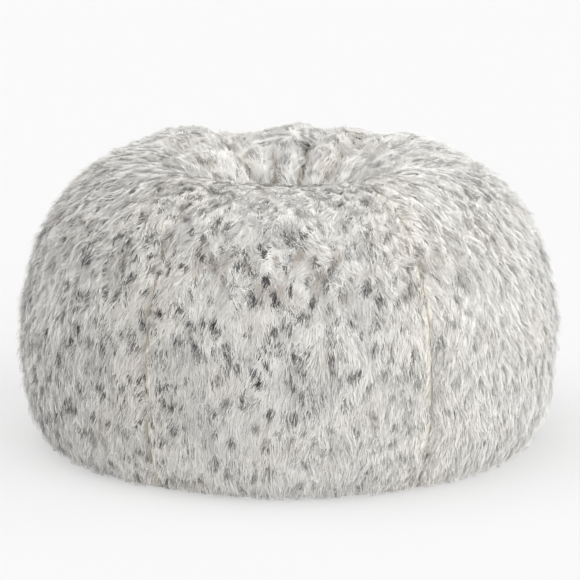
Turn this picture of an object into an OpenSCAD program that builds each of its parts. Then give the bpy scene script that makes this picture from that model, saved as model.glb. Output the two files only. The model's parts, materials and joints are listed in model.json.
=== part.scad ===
// Large fur bean bag chair: a removable fur cover of six gores, a hexagonal crown and a zipped
// canvas base, over a sewn liner that holds the bead filling. Millimetres, +Z up, the origin at
// the middle of the base, the front of the chair towards -Y.

/* [Bag] */
// Widest diameter of the filled bag
bag_d = 1041; // [1000:1:1080]
// Height of the rim above the floor
bag_h = 552; // [540:1:600]
// Radius of the flat base that rests on the floor
base_r = 450; // [440:1:460]
// Height of the widest ring above the floor
belly_z = 201; // [190:1:220]
// Radius of the crest of the rim around the seat
rim_r = 279; // [265:1:290]
// Depth of the seat's dip below the rim
dip_depth = 105; // [90:1:120]
// Corner radius of the hexagonal crown panel in the middle of the seat
crown_r = 140; // [120:1:150]

/* [Cloth] */
// Thickness of the fur cloth with its pile lying down
fur_t = 15; // [12:1:16]
// Thickness of the canvas base panels
canvas_t = 2.5; // [2:0.1:3]
// Thickness of the liner cloth
liner_t = 2; // [1.5:0.1:2.2]
// Width of the tape over each seam inside the cover
seam_tape_w = 24; // [16:1:30]

/* [Zips] */
// Length of the row of teeth on the cover's zip
cover_zip_len = 640; // [600:10:660]
// Length of the row of teeth on the liner's zip
liner_zip_len = 300; // [240:10:320]
// Distance from the middle of the base to the liner's zip
liner_zip_y = 150; // [130:1:180]
// Length of the cover's pull tab, from its hinge
pull_len = 28; // [20:1:34]

/* [Hidden] */

$fn = 96;
gores = 6;
gore_angle = 360 / gores;
seam_gap = 0.04;     // degrees between the edges of two gores
arc_steps = 12;      // straight pieces in each stretch of the skin line
ease = 0.2;          // small gap between cloth edges that meet
far = 1000;          // longer than anything in the bag

fur_colour = [0.87, 0.86, 0.84];
canvas_colour = [0.72, 0.71, 0.69];
tape_colour = [0.80, 0.79, 0.76];
liner_colour = [0.93, 0.92, 0.90];
bead_colour = [0.97, 0.97, 0.96];
zip_colour = [0.62, 0.62, 0.62];
metal_colour = [0.70, 0.70, 0.72];

// Insets of each layer from the outside of the fur
tape_out = fur_t + 0.6;
tape_in = fur_t + 1.8;
liner_out = fur_t + 3;
liner_in = liner_out + liner_t;
bead_out = liner_in + 0.4;

// Levels above the floor
liner_z = canvas_t + 0.4;
bead_z = liner_z + liner_t + 0.4;

// The recess in a base panel that keeps its zip off the floor
recess_w = 24;       // half the width of the recess
recess_z = 9;        // clear height of the recess
slot_w = 8;          // half the width of the slot that the zip closes
recess_end = 30;     // from the last tooth to the end of the recess
hump_gap = 1.4;      // between the cover's recess and the liner above it
cover_recess_len = cover_zip_len + 2 * recess_end;
liner_recess_len = liner_zip_len + 2 * recess_end;

// The zip's own sizes, with the teeth between tooth_z and tooth_z + tooth_t
tooth_pitch = 5;
tooth_w = 2;
tooth_z = 7;
tooth_t = 3;
tooth_reach = 1.2;   // past the middle line
spine_in = 1.6;      // from the middle line to the solid part of the row
spine_out = 3;
tape_w = 12;
tape_t = 1;
slider_len = 18;
slider_w = 5.6;      // half the width of the slider
slider_air = 0.4;    // around the teeth and the tape
plate_t = 2;
wedge_len = 3.5;     // the post that parts the two rows
pin_r = 0.8;
pin_z = 1.8;
knuckle_r = 1.6;

// ---- The skin line: three Bezier stretches from the base, round the belly and over the rim

skin = [
    [[base_r, 0], [base_r + 34.5, 20], [bag_d / 2, belly_z - 155], [bag_d / 2, belly_z]],
    [[bag_d / 2, belly_z], [bag_d / 2, belly_z + 181], [rim_r + 144, bag_h], [rim_r, bag_h]],
    [[rim_r, bag_h], [rim_r - 90, bag_h], [110, bag_h - dip_depth], [0, bag_h - dip_depth]]
];

function bezier(p, t) =
    let (s = 1 - t)
    s * s * s * p[0] + 3 * s * s * t * p[1] + 3 * s * t * t * p[2] + t * t * t * p[3];

function heading(p, t) =
    let (s = 1 - t)
    s * s * (p[1] - p[0]) + 2 * s * t * (p[2] - p[1]) + t * t * (p[3] - p[2]);

function inset_point(p, t, inset) =
    let (h = heading(p, t))
    bezier(p, t) + inset * [-h[1], h[0]] / norm(h);

// Points of the skin line at a depth under the outside, from one step number to another
function skin_line(inset, first = 0, last = 3 * arc_steps) = [
    for (i = [first : last])
        let (k = min(floor(i / arc_steps), 2))
        inset_point(skin[k], i / arc_steps - k, inset)
];

function backwards(line) = [for (i = [len(line) - 1 : -1 : 0]) line[i]];

function shell(outer, inner, first = 0, last = 3 * arc_steps) =
    concat(skin_line(outer, first, last), backwards(skin_line(inner, first, last)));

// The liner's line also drops to its own base, inside the foot of the cover
liner_foot_r = skin_line(liner_out)[0][0] - 3;

function liner_shell(outer, inner) =
    concat(
        [[liner_foot_r, liner_z]], skin_line(outer),
        backwards(skin_line(inner)), [[liner_foot_r - liner_t, liner_z]]
    );

// ---- Panels cut from the turned shells

module hexagon_prism(corner_r) {
    cylinder(r = corner_r, h = far, $fn = gores);
}

// The gore that starts at a seam, counted anticlockwise from +X
module gore(index, outline, hole_r) {
    difference() {
        rotate([0, 0, index * gore_angle + seam_gap / 2])
            rotate_extrude(angle = gore_angle - seam_gap)
                polygon(outline);
        hexagon_prism(hole_r);
    }
}

module crown(outline, corner_r) {
    intersection() {
        rotate_extrude() polygon(outline);
        hexagon_prism(corner_r);
    }
}

module fur_panel(index) {
    color(fur_colour) gore(index, shell(0, fur_t), crown_r + ease);
}

module fur_crown_panel() {
    color(fur_colour) crown(shell(0, fur_t, 2 * arc_steps), crown_r);
}

module liner_panel(index) {
    color(liner_colour) gore(index, liner_shell(liner_out, liner_in), crown_r + ease);
}

module liner_crown_panel() {
    color(liner_colour) crown(shell(liner_out, liner_in, 2 * arc_steps), crown_r);
}

// Woven tape sewn over the inside of every seam, from near the foot to the crown
module cover_seam_tapes() {
    color(tape_colour)
        for (i = [0 : gores - 1])
            rotate([90, 0, i * gore_angle])
                linear_extrude(height = seam_tape_w, center = true)
                    polygon(shell(tape_out, tape_in, 2, 2 * arc_steps + 5));
}

// ---- The base, with a raised recess for the zip

// A box that starts at z, centred on X and lying on one side of y = 0
module half_bar(length, width, z, height) {
    translate([-length / 2, 0, z]) cube([length, width, height]);
}

// Half of the cover's flat base, up to the recess
module base_panel(side) {
    color(canvas_colour)
        scale([1, side, 1])
            difference() {
                cylinder(r = base_r - canvas_t, h = canvas_t);
                translate([0, -far, -1]) half_bar(2 * far, far + recess_w + canvas_t, 0, far);
            }
}

// A patch at each end of the recess, out to the rim of the base
module base_end_patches() {
    color(canvas_colour)
        difference() {
            intersection() {
                cylinder(r = base_r - canvas_t, h = canvas_t);
                block(2 * far, recess_w + canvas_t, 0, 0, canvas_t);
            }
            block(cover_recess_len + 2 * canvas_t, far, 0, -1, far);
        }
}

// The standing walls of the recess: a long one on each side and a short one at each end
module base_zip_gusset() {
    color(canvas_colour)
        for (side = [-1, 1]) {
            scale([1, side, 1])
                translate([0, recess_w, 0])
                    half_bar(cover_recess_len + 2 * canvas_t, canvas_t, 0, recess_z + canvas_t);
            translate([side * (cover_recess_len + canvas_t) / 2, 0, 0])
                block(canvas_t, recess_w, 0, 0, recess_z + canvas_t);
        }
}

// The roof of the recess on one side of the zip, which the zip's tape is sewn to
module base_zip_strip(side) {
    color(canvas_colour)
        scale([1, side, 1])
            translate([0, slot_w, 0])
                half_bar(cover_recess_len, recess_w - slot_w, recess_z, canvas_t);
}

// The liner's base has a hump over the cover's recess, and a recess of its own
module liner_base_panel() {
    hump_len = cover_recess_len + 2 * (canvas_t + hump_gap);
    hump_w = recess_w + canvas_t + hump_gap;
    hump_z = recess_z + canvas_t + hump_gap;
    color(liner_colour)
        difference() {
            union() {
                translate([0, 0, liner_z])
                    cylinder(r = liner_foot_r - liner_t - ease, h = liner_t);
                block(hump_len + 2 * liner_t, hump_w + liner_t, 0, liner_z, hump_z + liner_t);
                block(liner_recess_len + 2 * liner_t, recess_w + liner_t, liner_zip_y,
                            liner_z, liner_z + recess_z + liner_t);
            }
            block(hump_len, hump_w, 0, 0, hump_z);
            block(liner_recess_len, recess_w, liner_zip_y, 0, liner_z + recess_z);
            block(liner_recess_len, slot_w, liner_zip_y, 0, far);
        }
}

// A block from z_low to z_high, reaching half_w to each side of the line y = y_mid
module block(length, half_w, y_mid, z_low, z_high) {
    translate([-length / 2, y_mid - half_w, z_low])
        cube([length, 2 * half_w, z_high - z_low]);
}

// The beads as one mass that fills the liner down to its base
module bead_filling() {
    foot_r = liner_foot_r - liner_t - 2 * ease;
    hump_w = recess_w + canvas_t + hump_gap + liner_t + ease;
    color(bead_colour)
        difference() {
            rotate_extrude()
                polygon(concat([[0, bead_z], [foot_r, bead_z]], skin_line(bead_out)));
            block(cover_recess_len + 2 * (canvas_t + hump_gap + liner_t + ease),
                        hump_w, 0, 0, recess_z + canvas_t + hump_gap + liner_t + ease);
            block(liner_recess_len + 2 * (liner_t + ease),
                        recess_w + liner_t + ease, liner_zip_y, 0,
                        liner_z + recess_z + 2 * liner_t + ease);
        }
}

// ---- Zips, drawn around the line y = 0 of the recess that holds them

// One row of teeth on its spine, on the +Y side
function tooth_row(count, start) = concat(
    [[start + count * tooth_pitch, spine_in], [start + count * tooth_pitch, spine_out],
     [start, spine_out], [start, spine_in]],
    [for (i = [0 : count - 1], corner = [0 : 3])
        [start + i * tooth_pitch + (corner < 2 ? 0 : tooth_w) + 1,
         corner == 0 || corner == 3 ? spine_in : -tooth_reach]]
);

module zip_teeth(length, side) {
    count = length / tooth_pitch;
    color(zip_colour)
        scale([1, side, 1])
            translate([side < 0 ? tooth_pitch / 2 : 0, 0, tooth_z])
                linear_extrude(height = tooth_t)
                    polygon(tooth_row(count - 1, -length / 2));
}

module zip_tape(length, side) {
    color(tape_colour)
        scale([1, side, 1])
            translate([0, spine_out, tooth_z + (tooth_t - tape_t) / 2])
                half_bar(length + 2 * recess_end, tape_w, 0, tape_t);
}

// A bottom stop across both rows, and a top stop at the end of each tape
module zip_stops(length) {
    stop_len = 4;
    color(metal_colour) {
        translate([-length / 2 - stop_len - ease, -spine_out, tooth_z])
            cube([stop_len, 2 * spine_out, tooth_t]);
        for (side = [-1, 1])
            scale([1, side, 1])
                translate([length / 2 + 8, 1, tooth_z])
                    cube([stop_len, spine_out - 1, tooth_t]);
    }
}

// The slider stands at the closed end, with its wedge just past the last tooth
module zip_slider(length) {
    front = length / 2 + 5;
    low_z = tooth_z - slider_air - plate_t;
    high_z = tooth_z + tooth_t + slider_air;
    tape_z = tooth_z + (tooth_t - tape_t) / 2;
    guide_w = slider_w - spine_out - slider_air;
    translate([front - slider_len, 0, 0]) {
        for (z = [low_z, high_z])
            translate([0, -slider_w, z]) cube([slider_len, 2 * slider_w, plate_t]);
        for (side = [-1, 1])
            scale([1, side, 1]) {
                translate([0, slider_w - guide_w, low_z])
                    cube([slider_len, guide_w, tape_z - slider_air - low_z]);
                translate([0, slider_w - guide_w, tape_z + tape_t + slider_air])
                    cube([slider_len, guide_w, high_z + plate_t - tape_z - tape_t - slider_air]);
            }
        translate([slider_len - wedge_len, -1, low_z])
            cube([wedge_len, 2, high_z - low_z + plate_t]);
    }
}

pin_x = cover_zip_len / 2 + 5 - slider_len / 2;
pin_half_w = 3.4;

// The cover's slider has two cheeks under it with a pin for the pull tab
module cover_zip_slider() {
    color(metal_colour)
        union() {
            zip_slider(cover_zip_len);
            for (side = [-1, 1])
                scale([1, side, 1])
                    translate([pin_x - 1.4, pin_half_w - 0.8, pin_z - 1.4])
                        cube([2.8, 0.8, tooth_z - slider_air - plate_t - pin_z + 2]);
            translate([pin_x, 0, pin_z])
                rotate([90, 0, 0])
                    cylinder(r = pin_r, h = 2 * pin_half_w, center = true);
        }
}

// The tab lies just clear of the floor: a knuckle round the pin, a neck between the cheeks and a
// rounded grip with a hole
module cover_zip_pull_tab() {
    neck_w = 2.2;
    neck_len = 4;
    grip_w = 4.5;
    tab_t = 1.4;
    hole_r = 2.2;
    color(metal_colour)
        translate([pin_x, 0, pin_z])
            difference() {
                union() {
                    rotate([90, 0, 0])
                        cylinder(r = knuckle_r, h = 2 * neck_w, center = true);
                    translate([-neck_len, -neck_w, -knuckle_r])
                        cube([neck_len, 2 * neck_w, tab_t]);
                    translate([grip_w - pull_len, -grip_w, -knuckle_r])
                        cube([pull_len - grip_w - neck_len + 0.5, 2 * grip_w, tab_t]);
                    translate([grip_w - pull_len, 0, -knuckle_r])
                        cylinder(r = grip_w, h = tab_t);
                }
                rotate([90, 0, 0])
                    cylinder(r = pin_r + 0.08, h = 4 * neck_w, center = true);
                translate([grip_w - pull_len, 0, -2 * knuckle_r])
                    cylinder(r = hole_r, h = 2 * knuckle_r);
            }
}

// Moves a zip drawn for the cover's recess into the liner's
module in_liner() {
    translate([0, liner_zip_y, liner_z]) children();
}

fur_panel(0);  // fur_panel_right_back
fur_panel(1);  // fur_panel_back
fur_panel(2);  // fur_panel_left_back
fur_panel(3);  // fur_panel_left_front
fur_panel(4);  // fur_panel_front
fur_panel(5);  // fur_panel_right_front
fur_crown_panel();
cover_seam_tapes();
base_panel(-1);  // base_panel_front
base_panel(1);  // base_panel_back
base_end_patches();
base_zip_gusset();
base_zip_strip(-1);  // base_zip_strip_front
base_zip_strip(1);  // base_zip_strip_back
zip_tape(cover_zip_len, -1);  // cover_zip_tape_front
zip_tape(cover_zip_len, 1);  // cover_zip_tape_back
zip_teeth(cover_zip_len, -1);  // cover_zip_teeth_front
zip_teeth(cover_zip_len, 1);  // cover_zip_teeth_back
zip_stops(cover_zip_len);  // cover_zip_stops
cover_zip_slider();
cover_zip_pull_tab();
liner_panel(0);  // liner_panel_right_back
liner_panel(1);  // liner_panel_back
liner_panel(2);  // liner_panel_left_back
liner_panel(3);  // liner_panel_left_front
liner_panel(4);  // liner_panel_front
liner_panel(5);  // liner_panel_right_front
liner_crown_panel();
liner_base_panel();
in_liner() zip_tape(liner_zip_len, -1);  // liner_zip_tape_front
in_liner() zip_tape(liner_zip_len, 1);  // liner_zip_tape_back
in_liner() zip_teeth(liner_zip_len, -1);  // liner_zip_teeth_front
in_liner() zip_teeth(liner_zip_len, 1);  // liner_zip_teeth_back
in_liner() zip_stops(liner_zip_len);  // liner_zip_stops
color(metal_colour) in_liner() zip_slider(liner_zip_len);  // liner_zip_slider
bead_filling();
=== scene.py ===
"""Looks of a large fur bean bag chair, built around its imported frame.

The cover is six fur gores and a hexagonal crown, sewn over a bead-filled liner and closed by a
zipped canvas base. The backing cloth is one turned form that is folded, filled by a cloth
simulation and cut into its panels. Locks of fur are then planted over each panel. The seam tapes,
the liner and the beads follow the same form, one under the other.
"""

import sys

import json
import logging
import math
from dataclasses import dataclass, field, replace
from enum import Enum
from typing import Optional, Union

import bpy
import numpy as np
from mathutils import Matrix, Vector

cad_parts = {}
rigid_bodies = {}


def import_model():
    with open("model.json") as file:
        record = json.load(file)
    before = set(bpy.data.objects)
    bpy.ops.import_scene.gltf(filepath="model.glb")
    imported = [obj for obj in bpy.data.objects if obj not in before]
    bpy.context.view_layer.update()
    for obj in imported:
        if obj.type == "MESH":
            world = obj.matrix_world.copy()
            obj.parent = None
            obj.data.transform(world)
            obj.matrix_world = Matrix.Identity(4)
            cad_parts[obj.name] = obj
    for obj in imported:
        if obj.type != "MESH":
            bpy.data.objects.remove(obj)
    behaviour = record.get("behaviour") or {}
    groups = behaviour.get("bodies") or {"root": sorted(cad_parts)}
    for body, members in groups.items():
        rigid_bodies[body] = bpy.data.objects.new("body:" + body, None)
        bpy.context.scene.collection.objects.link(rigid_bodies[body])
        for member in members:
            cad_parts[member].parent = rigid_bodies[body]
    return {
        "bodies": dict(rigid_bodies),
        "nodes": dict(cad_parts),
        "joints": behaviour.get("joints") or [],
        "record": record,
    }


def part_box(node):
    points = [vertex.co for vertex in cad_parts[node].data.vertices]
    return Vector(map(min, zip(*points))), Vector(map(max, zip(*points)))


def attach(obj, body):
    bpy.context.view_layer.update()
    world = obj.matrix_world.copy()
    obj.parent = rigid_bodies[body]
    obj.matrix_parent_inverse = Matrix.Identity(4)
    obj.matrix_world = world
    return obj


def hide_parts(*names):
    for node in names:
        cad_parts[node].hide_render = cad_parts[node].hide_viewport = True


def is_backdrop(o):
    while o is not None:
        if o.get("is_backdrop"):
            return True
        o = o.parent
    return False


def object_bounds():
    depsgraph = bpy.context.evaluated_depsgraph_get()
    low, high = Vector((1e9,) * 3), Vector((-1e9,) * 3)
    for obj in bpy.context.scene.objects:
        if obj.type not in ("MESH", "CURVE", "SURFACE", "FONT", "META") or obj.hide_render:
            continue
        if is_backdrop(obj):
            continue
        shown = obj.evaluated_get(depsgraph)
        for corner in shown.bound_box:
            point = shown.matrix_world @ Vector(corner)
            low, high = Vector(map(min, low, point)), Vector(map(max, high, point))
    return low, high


LOG = logging.getLogger("bean_bag")

# The gores, with their angles in degrees and their columns on the form.
GORES = 6
GORE_ANGLE = 360.0 / GORES
HALF_GORE = GORE_ANGLE / 2
COLUMNS_PER_GORE = 26
COLUMNS = GORES * COLUMNS_PER_GORE

# Points on each stretch of the profile, and distances in metres.
STRETCH_POINTS = 200
WELD = 1e-5
HEM_GAP = 0.0025

# Names that the frame knows, and the name of the locks' map for baking.
BAG_BODY = "bag"
SIDES = ("right_back", "back", "left_back", "left_front", "front", "right_front")
GORE_NODES = {kind: tuple(f"{kind}_panel_{side}" for side in SIDES) for kind in ("fur", "liner")}
BAKE_MAP = "OFBake"
Link = Union[float, int, tuple, "Wire"]


# ---- Small tools for modelling


def clear_selection() -> None:
    """Leaves edit mode and deselects every object."""
    if bpy.context.object is not None and bpy.context.object.mode != "OBJECT":
        bpy.ops.object.mode_set(mode="OBJECT")
    bpy.ops.object.select_all(action="DESELECT")


def pick(piece: bpy.types.Object) -> None:
    """Makes one object the only selected and active one."""
    clear_selection()
    piece.select_set(True)
    bpy.context.view_layer.objects.active = piece


def apply_modifiers(piece: bpy.types.Object) -> None:
    """Applies every modifier of a piece in order."""
    pick(piece)
    for modifier in list(piece.modifiers):
        bpy.ops.object.modifier_apply(modifier=modifier.name)


def points_of(piece: bpy.types.Object) -> np.ndarray:
    """Reads the vertices of a piece.

    Args:
        piece: A mesh object at the origin.

    Returns:
        An array of one row (x, y, z) for each vertex.
    """
    flat = np.empty(len(piece.data.vertices) * 3, dtype=np.float32)
    piece.data.vertices.foreach_get("co", flat)
    return flat.reshape(-1, 3).astype(float)


def set_points(piece: bpy.types.Object, points: np.ndarray) -> None:
    """Moves the vertices of a piece to the given places.

    Args:
        piece: A mesh object at the origin.
        points: One row (x, y, z) for each vertex.
    """
    piece.data.vertices.foreach_set("co", points.astype(np.float32).ravel())
    piece.data.update()


def unit(vectors: np.ndarray) -> np.ndarray:
    """Scales each row of an array to length 1."""
    return vectors / np.maximum(np.linalg.norm(vectors, axis=-1, keepdims=True), 1e-9)


def smooth_step(low: float, high: float, value: np.ndarray) -> np.ndarray:
    """Rises smoothly from 0 at low to 1 at high."""
    x = np.clip((value - low) / (high - low), 0.0, 1.0)
    return x * x * (3 - 2 * x)


def bell(distance: np.ndarray, width: float) -> np.ndarray:
    """A rounded bump of height 1 that fades over a width."""
    return np.exp(-((distance / width) ** 2))


def turn_between(angle: np.ndarray, middle: float) -> np.ndarray:
    """Signed difference between angles in degrees, within half a turn."""
    return (angle - middle + 180.0) % 360.0 - 180.0


def off_seam(angle: np.ndarray) -> np.ndarray:
    """Signed difference from the nearest long seam, in degrees."""
    return (angle + HALF_GORE) % GORE_ANGLE - HALF_GORE


# ---- Shader building


@dataclass(frozen=True)
class Wire:
    """An output socket of a shader, with arithmetic on single values."""

    shader: "Shader"
    socket: bpy.types.NodeSocket

    def _maths(self, operation: str, *values: Link) -> "Wire":
        """Adds a Math node on this shader."""
        inputs = dict(enumerate(values))
        return self.shader.node("ShaderNodeMath", {"operation": operation}, inputs)

    def __add__(self, other: Link) -> "Wire":
        """Sum of two values."""
        return self._maths("ADD", self, other)

    def __radd__(self, other: Link) -> "Wire":
        """Sum with a number on the left."""
        return self._maths("ADD", other, self)

    def __sub__(self, other: Link) -> "Wire":
        """Difference of two values."""
        return self._maths("SUBTRACT", self, other)

    def __rsub__(self, other: Link) -> "Wire":
        """Difference with a number on the left."""
        return self._maths("SUBTRACT", other, self)

    def __mul__(self, other: Link) -> "Wire":
        """Product of two values."""
        return self._maths("MULTIPLY", self, other)

    def __rmul__(self, other: Link) -> "Wire":
        """Product with a number on the left."""
        return self._maths("MULTIPLY", other, self)

    def size(self) -> "Wire":
        """The value without its sign."""
        return self._maths("ABSOLUTE", self)

    def step(self, low: float, high: float) -> "Wire":
        """Rises smoothly from 0 at low to 1 at high, and falls when low is above high."""
        rising = high > low
        limits = (low, high, 0.0, 1.0) if rising else (high, low, 1.0, 0.0)
        settings = {"interpolation_type": "SMOOTHSTEP"}
        inputs = dict(zip(("From Min", "From Max", "To Min", "To Max"), limits))
        return self.shader.node("ShaderNodeMapRange", settings, {"Value": self, **inputs})


class Shader:
    """One material with a Principled surface, whose nodes are added through one method."""

    def __init__(self, name: str) -> None:
        """Starts an empty node material.

        Args:
            name: The finish's own name.
        """
        self.material = bpy.data.materials.new(name)
        self.material.use_nodes = True
        self.tree = self.material.node_tree
        self.surface = self.tree.nodes["Principled BSDF"]

    def node(
        self,
        kind: str,
        settings: Optional[dict] = None,
        inputs: Optional[dict] = None,
        output: Union[str, int] = 0,
    ) -> Wire:
        """Adds one node.

        Args:
            kind: The node's type.
            settings: Its own settings, which are set first.
            inputs: Values or links by socket name or number.
            output: The name or number of the socket to return.

        Returns:
            The chosen output.
        """
        made = self.tree.nodes.new(kind)
        for key, value in (settings or {}).items():
            setattr(made, key, value)
        for key, value in (inputs or {}).items():
            self.feed(made.inputs[key], value)
        return Wire(self, made.outputs[output])

    def feed(self, socket: bpy.types.NodeSocket, value: Link) -> None:
        """Links or sets an input socket."""
        if isinstance(value, Wire):
            self.tree.links.new(value.socket, socket)
        else:
            socket.default_value = value

    def attribute(self, name: str, output: str) -> Wire:
        """Reads a named attribute of the mesh."""
        return self.node("ShaderNodeAttribute", {"attribute_name": name}, output=output)

    def place(self) -> Wire:
        """The point on the surface in the chair's own coordinates."""
        return self.node("ShaderNodeTexCoord", output="Object")

    def split(self, vector: Wire) -> tuple:
        """Splits a vector into its three values."""
        first = self.node("ShaderNodeSeparateXYZ", inputs={"Vector": vector})
        node = first.socket.node
        return tuple(Wire(self, node.outputs[i]) for i in range(3))

    def join(self, x: Link, y: Link, z: Link = 0.0) -> Wire:
        """Joins three values into a vector."""
        return self.node("ShaderNodeCombineXYZ", inputs={"X": x, "Y": y, "Z": z})

    def noise(self, vector: Wire, scale: float, detail: float = 2.0, output: str = "Fac") -> Wire:
        """Soft noise on a vector."""
        inputs = {"Vector": vector, "Scale": scale, "Detail": detail, "Roughness": 0.5}
        return self.node("ShaderNodeTexNoise", inputs=inputs, output=output)

    def cells(self, vector: Wire, scale: float, output: str) -> Wire:
        """Distance or colour of rounded cells on a vector."""
        inputs = {"Vector": vector, "Scale": scale, "Randomness": 1.0}
        settings = {"voronoi_dimensions": "2D"}
        return self.node("ShaderNodeTexVoronoi", settings, inputs, output)

    def mix(self, share: Link, first: Link, second: Link, how: str = "MIX") -> Wire:
        """Blends two colours by a share from 0 to 1."""
        settings = {"data_type": "RGBA", "blend_type": how, "clamp_factor": True}
        inputs = {0: share, 6: self._colour(first), 7: self._colour(second)}
        return self.node("ShaderNodeMix", settings, inputs, output=2)

    def tint(self, share: Link, first: Link, second: Link) -> Wire:
        """Multiplies a colour by another."""
        return self.mix(share, first, second, "MULTIPLY")

    def bump(self, height: Wire, strength: float, distance: float) -> Wire:
        """Turns a height into a surface normal."""
        inputs = {"Height": height, "Strength": strength, "Distance": distance}
        return self.node("ShaderNodeBump", inputs=inputs)

    def finish(self, **sockets: Link) -> bpy.types.Material:
        """Sets the surface's sockets, with spaces in names written as underscores.

        Returns:
            The finished material.
        """
        for name, value in sockets.items():
            self.feed(self.surface.inputs[name.replace("_", " ")], value)
        return self.material

    @staticmethod
    def _colour(value: Link) -> Link:
        """Gives a plain colour its alpha."""
        return (*value, 1.0) if isinstance(value, tuple) and len(value) == 3 else value


# ---- Finishes


@dataclass(frozen=True)
class SpotSize:
    """One size of streaked spots on the cloth.

    Attributes:
        width: Spacing across the pile, in metres.
        length: Spacing along the pile, in metres.
        kept: Share of the spots that are printed.
        rim: Distances from the middle where a spot ends and where it is full.
    """

    width: float
    length: float
    kept: float
    rim: tuple


@dataclass(frozen=True)
class FurFinish:
    """Long pale pile printed with dark streaked spots, as on a snow leopard's coat."""

    name: str
    pale: tuple = (0.96, 0.945, 0.905)
    cream: tuple = (0.96, 0.93, 0.85)
    smoke: tuple = (0.62, 0.605, 0.575)
    dark: tuple = (0.052, 0.052, 0.056)
    seam: tuple = (0.70, 0.66, 0.60)
    ash: tuple = (0.68, 0.67, 0.655)
    beige: tuple = (0.85, 0.80, 0.75)
    brown: tuple = (0.46, 0.39, 0.33)
    # Colour of the painted shade in the creases and along the hem's groove.
    fold: tuple = (0.52, 0.47, 0.42)
    big: SpotSize = SpotSize(0.022, 0.050, 0.46, (0.35, 0.15))
    small: SpotSize = SpotSize(0.0150, 0.036, 0.68, (0.37, 0.16))
    fleck: SpotSize = SpotSize(0.0095, 0.027, 0.52, (0.34, 0.18))
    depth_shade: float = 0.95
    sheen: float = 0.3

    def material(self) -> bpy.types.Material:
        """Builds the pile's material from where each lock is rooted on the cloth.

        Returns:
            A material that reads the attributes root and along.
        """
        s = Shader(self.name)
        root = s.attribute("root", "Vector")
        along = s.attribute("along", "Fac")
        x, y, chance = s.split(root)
        width = s.attribute("across", "Fac")
        edge = width.size().step(0.45, 0.95)
        print_mask = self._printed(s, root, edge)

        base = s.mix(edge * 0.6, self.pale, self.cream)
        # The print's strength also holds painted light: weaker on the lit right side, stronger on
        # the shaded left side.
        ink_and_painted_light = s.attribute("ink_and_painted_light", "Fac")
        smoke_mask = s.noise(s.join(x, y * 0.45), 22.0, 2.0).step(0.50, 0.72) * 0.55
        base = s.mix(smoke_mask * ink_and_painted_light, base, self.smoke)
        cloud = s.noise(s.join(x * 0.9, y * 0.7), 11.0, 2.0)
        base = s.mix(cloud.step(0.52, 0.70) * 0.55 * ink_and_painted_light, base, self.ash)
        base = s.mix(cloud.step(0.48, 0.32) * 0.50, base, self.beige)
        shoulder = s.attribute("shoulder", "Fac")
        patches = s.noise(s.join(x, y * 0.6), 30.0, 2.0).step(0.48, 0.64)
        base = s.mix(shoulder * patches * 0.70, base, self.brown)
        base = s.mix(print_mask * ink_and_painted_light * 0.90, base, self.dark)
        base = s.tint(width.size().step(0.986, 0.998), base, self.seam)
        # Painted shade in the seat's creases and along the hem's groove.
        base = s.tint(s.attribute("crease", "Fac").step(0.15, 0.95), base, self.fold)
        deep = along.step(0.0, 0.75)
        base = s.tint(1.0 - deep, base, (self.depth_shade,) * 3)
        # Painted light and shade on each lock: the third value of root is partly chance and partly
        # the lock's place in its tuft, lighter where the lock lies on top and darker under the tip
        # of the tuft above.
        light = chance * 0.11 + 0.94
        base = s.tint(1.0, base, s.join(light, light, light))
        return s.finish(
            Base_Color=base,
            Roughness=0.75,
            Sheen_Weight=self.sheen,
            Sheen_Roughness=0.5,
            Specular_IOR_Level=0.12,
        )

    def _printed(self, s: Shader, root: Wire, edge: Wire) -> Wire:
        """The three sizes of spots together, with frayed outlines.

        Args:
            s: The shader to add to.
            root: Place on the cloth, in metres.
            edge: How near the gore's side edges it is, from 0 to 1.

        Returns:
            A mask from 0 to 1.
        """
        x, y, _ = s.split(root)
        wander = s.split(s.noise(root, 9.0, 2.0, "Color"))
        frayed = s.split(s.noise(root, 60.0, 2.0, "Color"))
        warped = s.join(
            x + (wander[0] - 0.5) * 0.05 + (frayed[0] - 0.5) * 0.004,
            y + (wander[1] - 0.5) * 0.06 + (frayed[1] - 0.5) * 0.012,
        )
        zone = s.noise(s.join(x * 0.8, y * 0.5), 7.0, 1.0)
        big = self._spots(s, warped, self.big)
        small = self._spots(s, warped, self.small)
        fleck = self._spots(s, warped, self.fleck)
        spots = big * (0.50 + 0.50 * (1.0 - edge)) * zone.step(0.30, 0.62)
        others = small * (0.70 + 0.25 * edge) + fleck * zone.step(0.65, 0.35) * 0.5
        return (spots + others).step(0.05, 0.75)

    @staticmethod
    def _spots(s: Shader, place: Wire, size: SpotSize) -> Wire:
        """One size of streaked spots, some of them left out.

        Args:
            s: The shader to add to.
            place: Place on the cloth, in metres.
            size: The spots' size.

        Returns:
            A mask from 0 to 1.
        """
        scale = (1.0 / size.width, 1.0 / size.length, 1.0)
        scaled = s.node("ShaderNodeVectorMath", {"operation": "MULTIPLY"}, {0: place, 1: scale})
        near = s.cells(scaled, 1.0, "Distance").step(*size.rim)
        lot = s.split(s.cells(scaled, 1.0, "Color"))
        left_out = 1.0 - size.kept
        return near * lot[0].step(left_out - 0.08, left_out + 0.08) * (0.55 + 0.45 * lot[1])


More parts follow.
